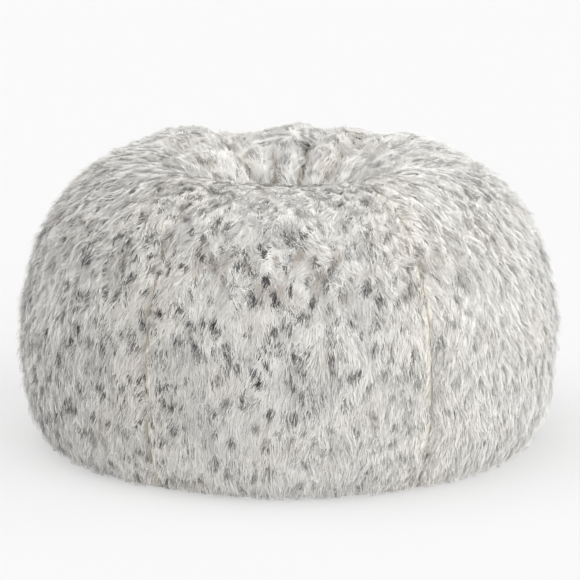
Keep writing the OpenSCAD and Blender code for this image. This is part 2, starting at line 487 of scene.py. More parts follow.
@dataclass(frozen=True)
class WovenFinish:
    """Plain woven cloth or tape, with its threads raised and its colour a little uneven."""

    name: str
    colour: tuple
    thread: float
    roughness: float = 0.85
    herringbone: bool = False

    def material(self) -> bpy.types.Material:
        """Builds the weave in the chair's own coordinates.

        Returns:
            A material with crossing threads, slubs and soft unevenness.
        """
        s = Shader(self.name)
        place = s.place()
        x, y, z = s.split(place)
        turns = math.tau / self.thread
        lean = x + y * (0.8 if self.herringbone else 0.0) + z * 0.5
        across = s.node("ShaderNodeMath", {"operation": "SINE"}, {0: lean * turns})
        up = s.node("ShaderNodeMath", {"operation": "SINE"}, {0: (y - z) * turns})
        weave = across * up
        slub = s.noise(s.join(x * 40.0, y * 300.0, z * 40.0), 1.0, 2.0)
        uneven = s.noise(place, 14.0, 3.0)
        shade = tuple(c * 0.78 for c in self.colour)
        base = s.mix(slub.step(0.40, 0.75) * 0.5, self.colour, shade)
        base = s.mix(uneven.step(0.35, 0.75) * 0.35, base, shade)
        # Painted shade where the threads dip, from the same weave as the bump.
        base = s.mix(weave.step(0.2, -0.9) * 0.35, base, shade)
        normal = s.bump(weave * 0.5 + slub * 0.5, 0.5, self.thread * 0.25)
        return s.finish(
            Base_Color=base,
            Roughness=self.roughness,
            Normal=normal,
            Sheen_Weight=0.15,
            Specular_IOR_Level=0.3,
        )


@dataclass(frozen=True)
class BeadFinish:
    """Packed foam beads: round, white and slightly glossy."""

    name: str
    colour: tuple = (0.90, 0.90, 0.89)
    bead: float = 0.004

    def material(self) -> bpy.types.Material:
        """Builds packed round beads on the filling's surface.

        Returns:
            A material with a rounded bump for each bead.
        """
        s = Shader(self.name)
        inputs = {"Vector": s.place(), "Scale": 1.0 / self.bead, "Randomness": 0.7}
        near = s.node("ShaderNodeTexVoronoi", {}, inputs, "Distance")
        # Painted shade in the gaps between the beads.
        shade = tuple(c * 0.6 for c in self.colour)
        base = s.mix(near.step(0.35, 0.75), self.colour, shade)
        dome = 1.0 - near * near
        return s.finish(
            Base_Color=base, Roughness=0.55, Normal=s.bump(dome, 0.8, self.bead * 0.4)
        )


@dataclass(frozen=True)
class HardFinish:
    """Moulded plastic or plated metal of the zips, with fine wear."""

    name: str
    colour: tuple
    metallic: float
    roughness: float

    def material(self) -> bpy.types.Material:
        """Builds a hard finish with faint scuffs.

        Returns:
            A plastic or metal material.
        """
        s = Shader(self.name)
        x, y, z = s.split(s.place())
        scuff = s.noise(s.join(x * 90.0, y * 700.0, z * 700.0), 1.0, 3.0)
        grain = s.noise(s.place(), 900.0, 2.0)
        worn = tuple(c * 0.8 for c in self.colour)
        base = s.mix(scuff.step(0.52, 0.70) * 0.5, self.colour, worn)
        rough = self.roughness + scuff.step(0.45, 0.75) * 0.18
        return s.finish(
            Base_Color=base,
            Metallic=self.metallic,
            Roughness=rough,
            Normal=s.bump(grain, 0.15, 0.0002),
        )


@dataclass(frozen=True)
class FloorFinish:
    """Plain pale studio floor, partly lit from below as a light table is."""

    name: str = "studio_floor"
    shade: float = 0.36
    glow: float = 0.47

    def material(self) -> bpy.types.Material:
        """Builds the floor's matt white.

        Returns:
            A plain matt material.
        """
        s = Shader(self.name)
        return s.finish(
            Base_Color=(self.shade, self.shade, self.shade, 1.0),
            Emission_Color=(1.0, 1.0, 1.0, 1.0),
            Emission_Strength=self.glow,
            Roughness=1.0,
            Specular_IOR_Level=0.0,
        )


def dress(piece: bpy.types.Object, material: bpy.types.Material) -> None:
    """Gives a piece one material all over."""
    piece.data.materials.clear()
    piece.data.materials.append(material)


# ---- The backing cloth's form


@dataclass(frozen=True)
class Fold:
    """A crease in the cloth that runs along the pile.

    Attributes:
        path: (angle in degrees, radius or height share) points from its top to its end.
        depth: How far it is pressed in, in metres. A negative one stands out.
        width: Half its width, in metres.
    """

    path: tuple
    depth: float
    width: float


@dataclass(frozen=True)
class Lift:
    """A hump or hollow of the rim.

    Attributes:
        angle: Where it is round the bag, in degrees from +X.
        height: How far it stands up, in metres.
        spread: Half its width, in degrees.
    """

    angle: float
    height: float
    spread: float


@dataclass(frozen=True)
class Groove:
    """How a seam draws the cloth in, or how the cloth stands out between two seams.

    Attributes:
        depth: How far it moves the cloth, in metres.
        width: Half its width, in metres.
    """

    depth: float
    width: float


@dataclass
class BagForm:
    """The filled bag's backing cloth as one turned form, before it is cut into panels.

    Attributes:
        half_width: Half the bag's width over the fur.
        height: Its height over the fur.
        base_radius: Radius of its foot.
        belly_height: Where it is widest.
        rim_radius: Radius of the rim's crest.
        dip_depth: How far the seat's middle lies under the rim.
        crown_corner: Radius of the crown's corners.
        crown_share: Radius of the ring that becomes the hexagon, as a share of its corners'.
        flat_seat: Radius within which the plain profile gives the height.
        pile_depth: Depth of the cloth under the lying pile.
        foot_inset: Depth of the cloth at the foot, where the pile ends.
        foot_height: How far the cloth's edge stays off the floor.
        foot_reach: Length of cloth over which the foot is drawn in.
        long_seam: The groove of each long seam.
        crown_seam: The groove round the crown.
        hem: The groove of the line a little above the foot.
        swell: How far each gore stands out between its seams.
        hem_rise: Distance of that line above the foot, along the cloth.
        hem_shade: How dark the painted shade along that line's groove makes the pile.
        hem_shade_width: Half the width of that painted shade.
        rim_spread: How far from the rim's crest its humps reach.
        fold_shade_depth: Depth at which a crease's painted shade is as dark as it gets.
        inner_depth: Depth from which a layer has a flat bottom of its own.
        inner_inset: How much further in than the cover such a bottom ends.
        inner_drop: How much lower than the layer's depth such a bottom lies.
        crown_rows: Rows of the form in the crown.
        outer_rows: Rows from the crown's seam to the foot.
        floor_rings: Radii of the rings that close the form's bottom.
        lifts: The rim's humps and hollows.
        folds: The seat's creases.
        swell_cap: How far the filling may move the cloth.
        homes: Row and column of each vertex.
        creases: How dark the painted shade of the creases and the hem's groove is at each point.
        rows: Radius and height of each row.
        arc: Distance of each row from the crown's middle, along the cloth.
        grid: The filled form's points by row and column.
        normals: Its outward normals.
    """

    half_width: float
    height: float
    base_radius: float
    belly_height: float = 0.201
    rim_radius: float = 0.279
    dip_depth: float = 0.105
    crown_corner: float = 0.140
    crown_share: float = 0.93
    flat_seat: float = 0.235
    pile_depth: float = 0.0135
    foot_inset: float = 0.0015
    foot_height: float = 0.0006
    foot_reach: float = 0.05
    long_seam: Groove = Groove(0.003, 0.010)
    crown_seam: Groove = Groove(0.006, 0.016)
    hem: Groove = Groove(0.005, 0.009)
    swell: Groove = Groove(0.004, 0.11)
    hem_rise: float = 0.040
    hem_shade: float = 0.38
    hem_shade_width: float = 0.005
    rim_spread: float = 0.13
    fold_shade_depth: float = 0.024
    inner_depth: float = 0.004
    inner_inset: float = 0.0065
    inner_drop: float = 0.002
    crown_rows: int = 12
    outer_rows: int = 78
    floor_rings: tuple = (0.38, 0.27, 0.14, 0.0)
    lifts: tuple = ()
    folds: tuple = ()
    swell_cap: float = 0.006
    homes: tuple = ()
    creases: np.ndarray = field(default_factory=lambda: np.zeros((0, 0, 3)))
    rows: np.ndarray = field(default_factory=lambda: np.zeros((0, 2)))
    arc: np.ndarray = field(default_factory=lambda: np.zeros(0))
    grid: np.ndarray = field(default_factory=lambda: np.zeros((0, 0, 3)))
    normals: np.ndarray = field(default_factory=lambda: np.zeros((0, 0, 3)))

    def skin_line(self) -> np.ndarray:
        """The outside of the fur from the middle of the seat to the floor.

        Returns:
            Points (radius, height), close together.
        """
        r, b, rim = self.half_width, self.belly_height, self.rim_radius
        low = self.height - self.dip_depth
        stretches = (
            ((0.0, low), (0.110, low), (rim - 0.090, self.height), (rim, self.height)),
            ((rim, self.height), (rim + 0.144, self.height), (r, b + 0.181), (r, b)),
            ((r, b), (r, b - 0.155), (self.base_radius + 0.0345, 0.020), (self.base_radius, 0.0)),
        )
        t = np.linspace(0.0, 1.0, STRETCH_POINTS)[:, None]
        s = 1 - t
        parts = []
        for ends in stretches:
            p = np.array(ends)
            parts.append(
                s**3 * p[0] + 3 * s * s * t * p[1] + 3 * s * t * t * p[2] + t**3 * p[3]
            )
        return np.concatenate([parts[0], parts[1][1:], parts[2][1:]])

    def backing_line(self) -> np.ndarray:
        """The backing cloth under the pile, which meets the base's edge at the floor.

        Returns:
            Points (radius, height), close together.
        """
        line = self.skin_line()
        along = unit(np.gradient(line, axis=0))
        inward = np.stack([along[:, 1], -along[:, 0]], axis=1)
        foot = self.foot_inset
        inset = foot + (self.pile_depth - foot) * smooth_step(0.0, self.foot_reach, line[:, 1])
        backing = line + inward * inset[:, None]
        backing[0, 0] = 0.0
        backing[-1] = (self.base_radius - foot, self.foot_height)
        return backing

    def lay_out_rows(self) -> None:
        """Chooses the rows of the form at even distances along the backing line."""
        line = self.backing_line()
        run = np.concatenate([[0.0], np.cumsum(np.linalg.norm(np.diff(line, axis=0), axis=1))])
        seat = slice(0, STRETCH_POINTS)
        ring = float(np.interp(self.crown_corner * self.crown_share, line[seat, 0], run[seat]))
        inner = np.linspace(0.0, ring, self.crown_rows + 1)
        outer = np.linspace(ring, run[-1], self.outer_rows + 1)[1:]
        self.arc = np.concatenate([inner, outer])
        self.rows = np.stack(
            [np.interp(self.arc, run, line[:, 0]), np.interp(self.arc, run, line[:, 1])], axis=1
        )

    def model(self) -> bpy.types.Object:
        """Models the closed form: a drawn profile, turned once round and closed by a floor.

        Returns:
            The form, whose rows and columns are in grid.
        """
        self.lay_out_rows()
        wire = [tuple(p) for p in self.rows] + [(r, self.foot_height) for r in self.floor_rings]
        clear_selection()
        bpy.ops.mesh.primitive_plane_add(size=0.01, location=(0.0, 0.0, wire[0][1]))
        form = bpy.context.object
        form.name = "bag_form"
        bpy.ops.object.mode_set(mode="EDIT")
        bpy.ops.mesh.select_all(action="SELECT")
        bpy.ops.mesh.merge(type="CENTER")
        for here, there in zip(wire, wire[1:]):
            step = (there[0] - here[0], 0.0, there[1] - here[1])
            bpy.ops.mesh.extrude_region_move(TRANSFORM_OT_translate={"value": step})
        bpy.ops.mesh.select_all(action="SELECT")
        bpy.ops.mesh.spin(
            steps=COLUMNS, angle=math.tau, center=(0.0, 0.0, 0.0), axis=(0.0, 0.0, 1.0)
        )
        bpy.ops.mesh.select_all(action="SELECT")
        bpy.ops.mesh.remove_doubles(threshold=WELD)
        bpy.ops.mesh.normals_make_consistent(inside=False)
        bpy.ops.object.mode_set(mode="OBJECT")
        bpy.ops.object.transform_apply(location=True, rotation=True, scale=True)
        return form

    def address(self, points: np.ndarray) -> tuple:
        """Finds the row and column of each vertex of the plain turned form.

        Args:
            points: The vertices.

        Returns:
            Row numbers (-1 on the floor side) and column numbers.
        """
        radius = np.hypot(points[:, 0], points[:, 1])
        gap = np.abs(radius[:, None] - self.rows[None, :, 0]) + np.abs(
            points[:, 2][:, None] - self.rows[None, :, 1]
        )
        row = gap.argmin(axis=1)
        row[gap.min(axis=1) > 10 * WELD] = -1
        angle = np.degrees(np.arctan2(points[:, 1], points[:, 0])) % 360.0
        column = np.rint(angle / 360.0 * COLUMNS).astype(int) % COLUMNS
        return row, column

    def shaped(self) -> np.ndarray:
        """Works out the form's rows and columns with its hexagonal crown, humps and folds.

        Returns:
            An array (row, column, 3) of points.
        """
        line = self.backing_line()
        angle = np.arange(COLUMNS) * 360.0 / COLUMNS
        within = np.radians(angle % GORE_ANGLE - HALF_GORE)
        hexagon = math.cos(math.radians(HALF_GORE)) / np.cos(within) / self.crown_share
        nominal = self.rows[:, 0][:, None]
        share = 1.0 - smooth_step(self.crown_corner * self.crown_share, 0.225, nominal)
        radius = nominal * (1.0 + (hexagon[None, :] - 1.0) * share)
        z = np.repeat(self.rows[:, 1][:, None], COLUMNS, axis=1)
        inner = self.rows[:, 0] < self.flat_seat
        inner &= self.rows[:, 1] > self.height / 2
        seat = slice(0, STRETCH_POINTS)
        z[inner] = np.interp(radius[inner], line[seat, 0], line[seat, 1])
        turn = np.radians(angle)[None, :]
        grid = np.stack([radius * np.cos(turn), radius * np.sin(turn), z], axis=2)
        return grid + self.pressed(grid, angle)

    def pressed(self, grid: np.ndarray, angle: np.ndarray) -> np.ndarray:
        """Works out how the filled cloth stands out and is drawn in.

        Args:
            grid: The smooth form's points.
            angle: Each column's angle, in degrees.

        Returns:
            The move of each point.
        """
        normal = grid_normals(grid)
        arc = self.arc[:, None]
        radius = np.maximum(np.hypot(grid[..., 0], grid[..., 1]), 0.02)
        seam_gap = np.radians(np.abs(off_seam(angle)))[None, :] * radius
        ring = self.arc[self.crown_rows]
        sewn = smooth_step(ring * 0.8, ring * 1.3, arc)
        top = 1.0 - smooth_step(0.32, 0.62, arc)
        seam, crown, hem = self.long_seam, self.crown_seam, self.hem
        out = -bell(seam_gap, seam.width) * (seam.depth + 0.005 * top) * sewn
        out = out + self.swell.depth * (1.0 - bell(seam_gap, self.swell.width)) * sewn
        out = out - crown.depth * bell(arc - ring, crown.width)
        off_hem = arc - (self.arc[-1] - self.hem_rise)
        out = out - hem.depth * bell(off_hem, hem.width) * np.ones_like(seam_gap)
        near_rim = bell(arc - self.crest(), self.rim_spread)
        up = np.zeros_like(seam_gap)
        for lift in self.lifts:
            up = up + lift.height * bell(turn_between(angle, lift.angle), lift.spread)[None, :]
        # Painted shade: the middle of each crease, darker for deeper folds, and the hem's groove
        # are marked to darken the pile.
        self.creases = np.zeros(grid.shape)
        for fold in self.folds:
            out = out - fold.depth * self.crease(fold, angle, radius)
            deepest = self.crease(replace(fold, width=0.5 * fold.width), angle, radius)
            deepest = deepest * min(1.0, fold.depth / self.fold_shade_depth)
            self.creases[..., 0] = np.maximum(self.creases[..., 0], deepest)
        shade = self.hem_shade * bell(off_hem, self.hem_shade_width)
        self.creases[..., 0] = np.maximum(self.creases[..., 0], shade)
        out = out * smooth_step(0.0, self.foot_reach, self.arc[-1] - arc)
        move = normal * out[..., None]
        move[..., 2] += up * near_rim
        return move

    @property
    def last_place(self) -> float:
        """The last row at which the grid can be read, as a fraction."""
        return len(self.arc) - 1.001

    def arc_of(self, row: np.ndarray) -> np.ndarray:
        """Distance along the cloth from the crown's middle to rows given as fractions."""
        return np.interp(row, np.arange(len(self.arc)), self.arc)

    def crest(self) -> float:
        """Distance along the cloth from the crown to the crest of the rim, in metres."""
        inner = slice(0, int(np.argmax(self.rows[:, 0])))
        return float(np.interp(self.rim_radius, self.rows[inner, 0], self.arc[inner]))

    def crease(self, fold: Fold, angle: np.ndarray, radius: np.ndarray) -> np.ndarray:
        """The shape of one fold over the form.

        Args:
            fold: The fold.
            angle: Each column's angle, in degrees.
            radius: Each point's distance from the middle axis.

        Returns:
            A share from 0 to 1 for each row and column.
        """
        path = np.array(fold.path)
        middle = np.interp(self.arc, path[:, 1], path[:, 0])
        ends = smooth_step(path[0, 1] - 0.03, path[0, 1] + 0.02, self.arc)
        ends = ends * (1.0 - smooth_step(path[-1, 1] - 0.02, path[-1, 1] + 0.03, self.arc))
        off = np.abs(turn_between(angle[None, :], middle[:, None]))
        return bell(np.radians(off) * radius, fold.width) * ends[:, None]

    def read(self, field_: np.ndarray, row: np.ndarray, column: np.ndarray) -> np.ndarray:
        """Reads a grid between its points.

        Args:
            field_: Values by row and column.
            row: Rows, as fractions.
            column: Columns, as fractions.

        Returns:
            The blended value at each place.
        """
        r0 = np.clip(np.floor(row).astype(int), 0, field_.shape[0] - 2)
        c0 = np.floor(column).astype(int)
        a, b = (row - r0)[..., None], (column - c0)[..., None]
        c0, c1 = c0 % COLUMNS, (c0 + 1) % COLUMNS
        top = field_[r0, c0] * (1 - b) + field_[r0, c1] * b
        low = field_[r0 + 1, c0] * (1 - b) + field_[r0 + 1, c1] * b
        return top * (1 - a) + low * a

    def layer(self, row: np.ndarray, column: np.ndarray, depth: float) -> np.ndarray:
        """Finds the points of an inner layer, which is drawn in at the foot to a flat bottom.

        Args:
            row: Rows, as fractions.
            column: Columns, as fractions.
            depth: Depth under the cover's cloth, in metres.

        Returns:
            The points.
        """
        place = self.read(self.grid, row, column)
        place = place - unit(self.read(self.normals, row, column)) * depth
        if depth < self.inner_depth:
            return place
        arc = self.arc_of(row)
        drawn = (1.0 - smooth_step(0.0, self.foot_reach, self.arc[-1] - arc))[..., None]
        turn = column * math.tau / COLUMNS
        foot = self.base_radius - self.inner_inset - depth
        level = np.full_like(turn, depth - self.inner_drop)
        ring = np.stack([foot * np.cos(turn), foot * np.sin(turn), level], axis=-1)
        return place * (1.0 - drawn) + ring * drawn

    def cut(
        self, name: str, rows: np.ndarray, columns: np.ndarray, depth: float, thickness: float
    ) -> bpy.types.Object:
        """Cuts one closed sheet of cloth that follows the form.

        Args:
            name: The piece's name.
            rows: Its rows on the form, from the crown outwards.
            columns: Its columns at each of those rows, as a table.
            depth: Depth of its outside under the cover's cloth, in metres.
            thickness: The cloth's thickness, in metres.

        Returns:
            The piece.
        """
        high, wide = len(rows) - 1, columns.shape[1] - 1
        clear_selection()
        bpy.ops.mesh.primitive_grid_add(x_subdivisions=wide, y_subdivisions=high, size=1.0)
        piece = bpy.context.object
        piece.name = piece.data.name = name
        flat = points_of(piece)
        across = np.rint((flat[:, 0] + 0.5) * wide).astype(int)
        down = high - np.rint((flat[:, 1] + 0.5) * high).astype(int)
        row, column = rows[down], columns[down, across]
        set_points(piece, self.layer(row, column, depth))
        give_vector(piece, "spot", np.column_stack([row, column, across / wide * 2 - 1]))
        bpy.ops.object.mode_set(mode="EDIT")
        bpy.ops.mesh.select_all(action="SELECT")
        bpy.ops.mesh.remove_doubles(threshold=WELD)
        bpy.ops.mesh.normals_make_consistent(inside=False)
        bpy.ops.object.mode_set(mode="OBJECT")
        self.face_outwards(piece)
        wall = piece.modifiers.new("cloth", "SOLIDIFY")
        wall.thickness, wall.offset = thickness, -1.0
        apply_modifiers(piece)
        pick(piece)
        bpy.ops.object.shade_smooth_by_angle(angle=math.radians(50))
        return piece

    @staticmethod
    def face_outwards(piece: bpy.types.Object) -> None:
        """Turns an open sheet's faces away from the middle of the bag."""
        inside = Vector((0.0, 0.0, 0.25))
        facing = sum(
            face.normal.dot(face.center - inside) * face.area for face in piece.data.polygons
        )
        if facing < 0:
            piece.data.flip_normals()

    def fill(self, form: bpy.types.Object) -> None:
        """Shapes the form, fills it by a short cloth simulation and reads its grid.

        Args:
            form: The plain turned form.
        """
        points = points_of(form)
        row, column = self.homes = self.address(points)
        shaped = self.shaped()
        on_skin = row >= 0
        points[on_skin] = shaped[row[on_skin], column[on_skin]]
        set_points(form, points)
        points = points + self.simulated(form, points, row, column)
        set_points(form, points)
        grid = shaped.copy()
        grid[row[on_skin], column[on_skin]] = points[on_skin]
        grid[0, :] = points[row == 0].mean(axis=0)
        self.grid = grid
        self.normals = grid_normals(grid)

    def simulated(
        self, form: bpy.types.Object, start: np.ndarray, row: np.ndarray, column: np.ndarray
    ) -> np.ndarray:
        """Blows the cloth up against its sewn seams.

        Args:
            form: The shaped form.
            start: Its vertices.
            row: Each vertex's row.
            column: Each vertex's column.

        Returns:
            The capped move of each vertex.
        """
        on_seam = column % COLUMNS_PER_GORE == 0
        held = (row < 0) | (row >= len(self.rows) - 2) | (row == self.crown_rows)
        held |= on_seam & (row > self.crown_rows)
        pins = form.vertex_groups.new(name="sewn")
        pins.add([int(i) for i in np.flatnonzero(held)], 1.0, "REPLACE")
        cloth = form.modifiers.new("filling", "CLOTH")
        settings = cloth.settings
        settings.quality = 5
        settings.mass = 0.4
        settings.tension_stiffness = settings.compression_stiffness = 12.0
        settings.shear_stiffness = 4.0
        settings.bending_stiffness = 1.5
        settings.use_pressure = True
        settings.uniform_pressure_force = 4.0
        settings.vertex_group_mass = "sewn"
        settings.effector_weights.gravity = 0.0
        scene = bpy.context.scene
        cloth.point_cache.frame_start, cloth.point_cache.frame_end = 1, 20
        for frame in range(1, 21):
            scene.frame_set(frame)
        seen = form.evaluated_get(bpy.context.evaluated_depsgraph_get())
        flat = np.empty(len(seen.data.vertices) * 3, dtype=np.float32)
        seen.data.vertices.foreach_get("co", flat)
        form.modifiers.remove(cloth)
        scene.frame_set(1)
        move = flat.reshape(-1, 3).astype(float) - start
        length = np.linalg.norm(move, axis=1, keepdims=True)
        LOG.info("cloth moved %.1f mm at most", 1000 * float(length.max()))
        return move * np.minimum(1.0, self.swell_cap / np.maximum(length, 1e-9))


def grid_normals(grid: np.ndarray) -> np.ndarray:
    """Outward normals of a form laid out in rows and columns.

    Args:
        grid: Points (row, column, 3), closed round its columns.

    Returns:
        A unit normal for each point.
    """
    down = np.gradient(grid, axis=0)
    round_ = (np.roll(grid, -1, axis=1) - np.roll(grid, 1, axis=1)) / 2
    round_[0] = round_[1]
    normal = unit(np.cross(down, round_))
    normal[0] = (0.0, 0.0, 1.0)
    return normal


@dataclass(frozen=True)
class Panel:
    """One piece of the cover's cloth and where it lies on the form.

    Attributes:
        node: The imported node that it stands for.
        first_row: Its first row on the form.
        last_row: Its last row.
        first_column: Its first column.
        columns: How many columns it takes.
        index: Its place round the bag, or 6 for the crown.
    """

    node: str
    first_row: int
    last_row: int
    first_column: int
    columns: int
    index: int

    @property
    def is_crown(self) -> bool:
        """True for the hexagon in the middle of the seat."""
        return self.index == GORES

    def across(self, angle: np.ndarray) -> np.ndarray:
        """Place across a gore from -1 to 1, for angles round the bag."""
        return turn_between(angle, GORE_ANGLE * self.index + HALF_GORE) / HALF_GORE

    def spread(self) -> tuple:
        """Lists the panel's rows and its columns at each row.

        Returns:
            The rows, and a table of columns.
        """
        rows = np.arange(self.first_row, self.last_row + 1).astype(float)
        across = self.first_column + np.arange(self.columns + 1).astype(float)
        return rows, np.repeat(across[None, :], len(rows), axis=0)


def panels(gore_nodes: tuple, crown_node: str, form: BagForm) -> list:
    """Lists the panels of a cover or liner.

    Args:
        gore_nodes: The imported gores, anticlockwise from +X.
        crown_node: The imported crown.
        form: The form that they lie on.

    Returns:
        Six gores, then the crown.
    """
    last = len(form.rows) - 1
    gores = [
        Panel(node, form.crown_rows, last, i * COLUMNS_PER_GORE, COLUMNS_PER_GORE, i)
        for i, node in enumerate(gore_nodes)
    ]
    return gores + [Panel(crown_node, 0, form.crown_rows, 0, COLUMNS, GORES)]


def settle(piece: bpy.types.Object, slot_name: str, *nodes: str) -> None:
    """Attaches one filled or stretched piece to the bag and hides the nodes that it stands for."""
    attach(piece, BAG_BODY)
    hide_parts(*nodes)


class Layer(Enum):
    """The two lengths of hair in the pile."""

    UNDERFUR = "underfur"
    GUARD = "guard_hair"


@dataclass(frozen=True)
class LockSize:
    """Sizes of one kind of lock, in metres, and how it lies."""

    layer: Layer
    per_square_metre: float
    length: float
    width: float
    lift: float
    bends: bool
    gather: float
    scatter: float


# Distances on the printed cloth that keep the panels' prints apart, in metres.
GORE_PRINT = 2.0
CROWN_PRINT = 20.0

# Whole numbers that scatter the chances of the tufts.
LOT_OFFSET = 977
CELL_FACTORS = (73856093, 19349663, 83492791)
SALTS = (101, 7919, 104729)
WORD = 0xFFFFFFFF
CHANCES = 0xFFFFFF

LOCKS = (
    LockSize(Layer.UNDERFUR, 116000, 0.021, 0.0017, 0.0045, False, 0.42, 0.16),
    LockSize(Layer.GUARD, 36000, 0.024, 0.0013, 0.0068, True, 0.60, 0.14),
)


@dataclass
class Roots:
    """Where the locks of one panel are rooted and how the pile is there, one value for each.

    Attributes:
        row: Rows of the form, as fractions.
        column: Columns, as fractions.
        place: Points on the cloth.
        up: The cloth's normals.
        flow: The way the pile is brushed, along the cloth.
        side: The way across it, along the cloth.
        arc: Distance from the crown's middle, along the cloth.
        angle: Angle round the bag, in degrees.
        radius: Distance from the middle axis.
        seam_gap: Signed distance from the nearest long seam.
        parted: How near a long seam, from 0 to 1.
        shoulder: How ruffled the pile is, from 0 to 1.
        to_tuft: The way to the middle of the tuft, along the cloth.
        fore: How far up the pile from that middle, in tufts.
        lot: Three chances of the tuft, from 0 to 1.
    """

    row: np.ndarray
    column: np.ndarray
    place: np.ndarray
    up: np.ndarray
    flow: np.ndarray
    side: np.ndarray
    arc: np.ndarray
    angle: np.ndarray
    radius: np.ndarray
    seam_gap: np.ndarray
    parted: np.ndarray
    shoulder: np.ndarray
    to_tuft: np.ndarray
    fore: np.ndarray
    lot: np.ndarray


@dataclass
class Pile:
    """The fur of the cover: locks planted on the backing cloth, gathered into tufts.

    Attributes:
        form: The filled form.
        shoulder_arc: Where the shoulder is, from the crown's middle along the cloth.
        crest_arc: Where the rim's crest is.
        seed: Where the chances start.
        tuft: Size of a tuft.
        parting: Half the width of the parting along a seam.
        roll: How far the locks are turned about their length, in radians.
        flatness: A lock's thickness as a share of its width.
        floor_gap: How far the locks stay off the floor.
    """

    form: BagForm
    shoulder_arc: float
    crest_arc: float
    seed: int = 41
    tuft: float = 0.024
    parting: float = 0.010
    roll: float = 0.22
    flatness: float = 0.20
    floor_gap: float = 0.0012

    def lock_shape(self, size: LockSize) -> tuple:
        """Models one lock as a closed three-sided spike of unit length.

        Args:
            size: The kind of lock.

        Returns:
            Its vertices and its triangles.
        """
        clear_selection()
        bpy.ops.mesh.primitive_cone_add(
            vertices=3, radius1=0.5, radius2=0.0, depth=1.0, location=(0.0, 0.0, 0.5)
        )
        lock = bpy.context.object
        bpy.ops.object.transform_apply(location=True, rotation=True, scale=True)
        bpy.ops.object.mode_set(mode="EDIT")
        bpy.ops.mesh.select_all(action="SELECT")
        if size.bends:
            bpy.ops.mesh.bisect(plane_co=(0.0, 0.0, 0.5), plane_no=(0.0, 0.0, 1.0))
            bpy.ops.transform.resize(value=(1.7, 1.7, 1.0))
            bpy.ops.mesh.select_all(action="SELECT")
        bpy.ops.mesh.quads_convert_to_tris()
        bpy.ops.mesh.normals_make_consistent(inside=False)
        bpy.ops.object.mode_set(mode="OBJECT")
        points = points_of(lock)
        faces = np.array([tuple(p.vertices) for p in lock.data.polygons])
        mesh = lock.data
        bpy.data.objects.remove(lock)
        bpy.data.meshes.remove(mesh)
        return points, faces

    def scattered(
        self, panel: Panel, per_square_metre: float, rng: np.random.Generator
    ) -> tuple:
        """Scatters roots evenly over a panel.

        Args:
            panel: The panel.
            per_square_metre: How many roots on a square metre.
            rng: The source of chance.

        Returns:
            Rows and columns of the roots, as fractions of the grid.
        """
        grid = self.form.grid
        r0, r1 = panel.first_row, panel.last_row
        columns = (panel.first_column + np.arange(panel.columns + 1)) % COLUMNS
        patch = grid[r0 : r1 + 1][:, columns]
        near = np.cross(patch[1:, :-1] - patch[:-1, :-1], patch[:-1, 1:] - patch[:-1, :-1])
        far = np.cross(patch[1:, :-1] - patch[1:, 1:], patch[:-1, 1:] - patch[1:, 1:])
        area = np.linalg.norm(near, axis=2) / 2 + np.linalg.norm(far, axis=2) / 2
        count = int(round(area.sum() * per_square_metre))
        spread = np.cumsum(area.ravel()) / area.sum()
        steps = (np.arange(count) + rng.random(count)) / count
        cell = np.searchsorted(spread, steps).clip(0, area.size - 1)
        row = r0 + cell // area.shape[1] + rng.random(count)
        column = panel.first_column + cell % area.shape[1] + rng.random(count)
        return row, column

    def tufts(self, place: np.ndarray) -> tuple:
        """Finds the tuft that each root belongs to.

        Args:
            place: The roots.

        Returns:
            The middle of each root's tuft, and three chances from 0 to 1 for it.
        """
        cell = np.floor(place / self.tuft).astype(np.int64)
        best = np.full(len(place), np.inf)
        middle = np.zeros_like(place)
        lot = np.zeros_like(place)
        steps = (-1, 0, 1)
        for i in steps:
            for j in steps:
                for k in steps:
                    here = cell + np.array([i, j, k])
                    chance = hashed(here)
                    point = (here + 0.1 + 0.8 * chance) * self.tuft
                    far = np.sum((point - place) ** 2, axis=1)
                    near = far < best
                    best[near], middle[near] = far[near], point[near]
                    lot[near] = hashed(here[near] + LOT_OFFSET)
        return middle, lot

    def roots(self, panel: Panel, per_square_metre: float, rng: np.random.Generator) -> Roots:
        """Chooses the roots of one kind of lock and reads the form at each.

        Args:
            panel: The panel.
            per_square_metre: How many roots on a square metre.
            rng: The source of chance.

        Returns:
            The roots.
        """
        row, column = self.scattered(panel, per_square_metre, rng)
        place = self.form.read(self.form.grid, row, column)
        up = unit(self.form.read(self.form.normals, row, column))
        flow = self.flow(up, row, column)
        arc = self.form.arc_of(row)
        angle = column * 360.0 / COLUMNS
        radius = np.hypot(place[:, 0], place[:, 1])
        seam_gap = np.radians(off_seam(angle)) * radius
        middle, lot = self.tufts(place)
        to_tuft = middle - place
        to_tuft = to_tuft - up * np.sum(to_tuft * up, axis=1)[:, None]
        return Roots(
            row=row,
            column=column,
            place=place,
            up=up,
            flow=flow,
            side=np.cross(up, flow),
            arc=arc,
            angle=angle,
            radius=radius,
            seam_gap=seam_gap,
            parted=bell(seam_gap, self.parting) * (0.0 if panel.is_crown else 1.0),
            shoulder=self.shoulder(arc, angle),
            to_tuft=to_tuft,
            fore=np.clip(-np.sum(to_tuft * flow, axis=1) / self.tuft, -0.6, 0.6),
            lot=lot,
        )

    def plant(self, panel: Panel, size: LockSize) -> bpy.types.Object:
        """Plants one kind of lock over a panel.

        Args:
            panel: The panel.
            size: The kind of lock.

        Returns:
            The planted pile as one mesh.
        """
        rng = np.random.default_rng(self.seed + 100 * panel.index + len(size.layer.value))
        at = self.roots(panel, size.per_square_metre, rng)
        count = len(at.row)
        spin = self.spin(at, size, rng)
        length, lift = self.reach(at, size, rng)
        gathered = at.to_tuft * (size.gather * rng.uniform(0.7, 1.1, count))[:, None]

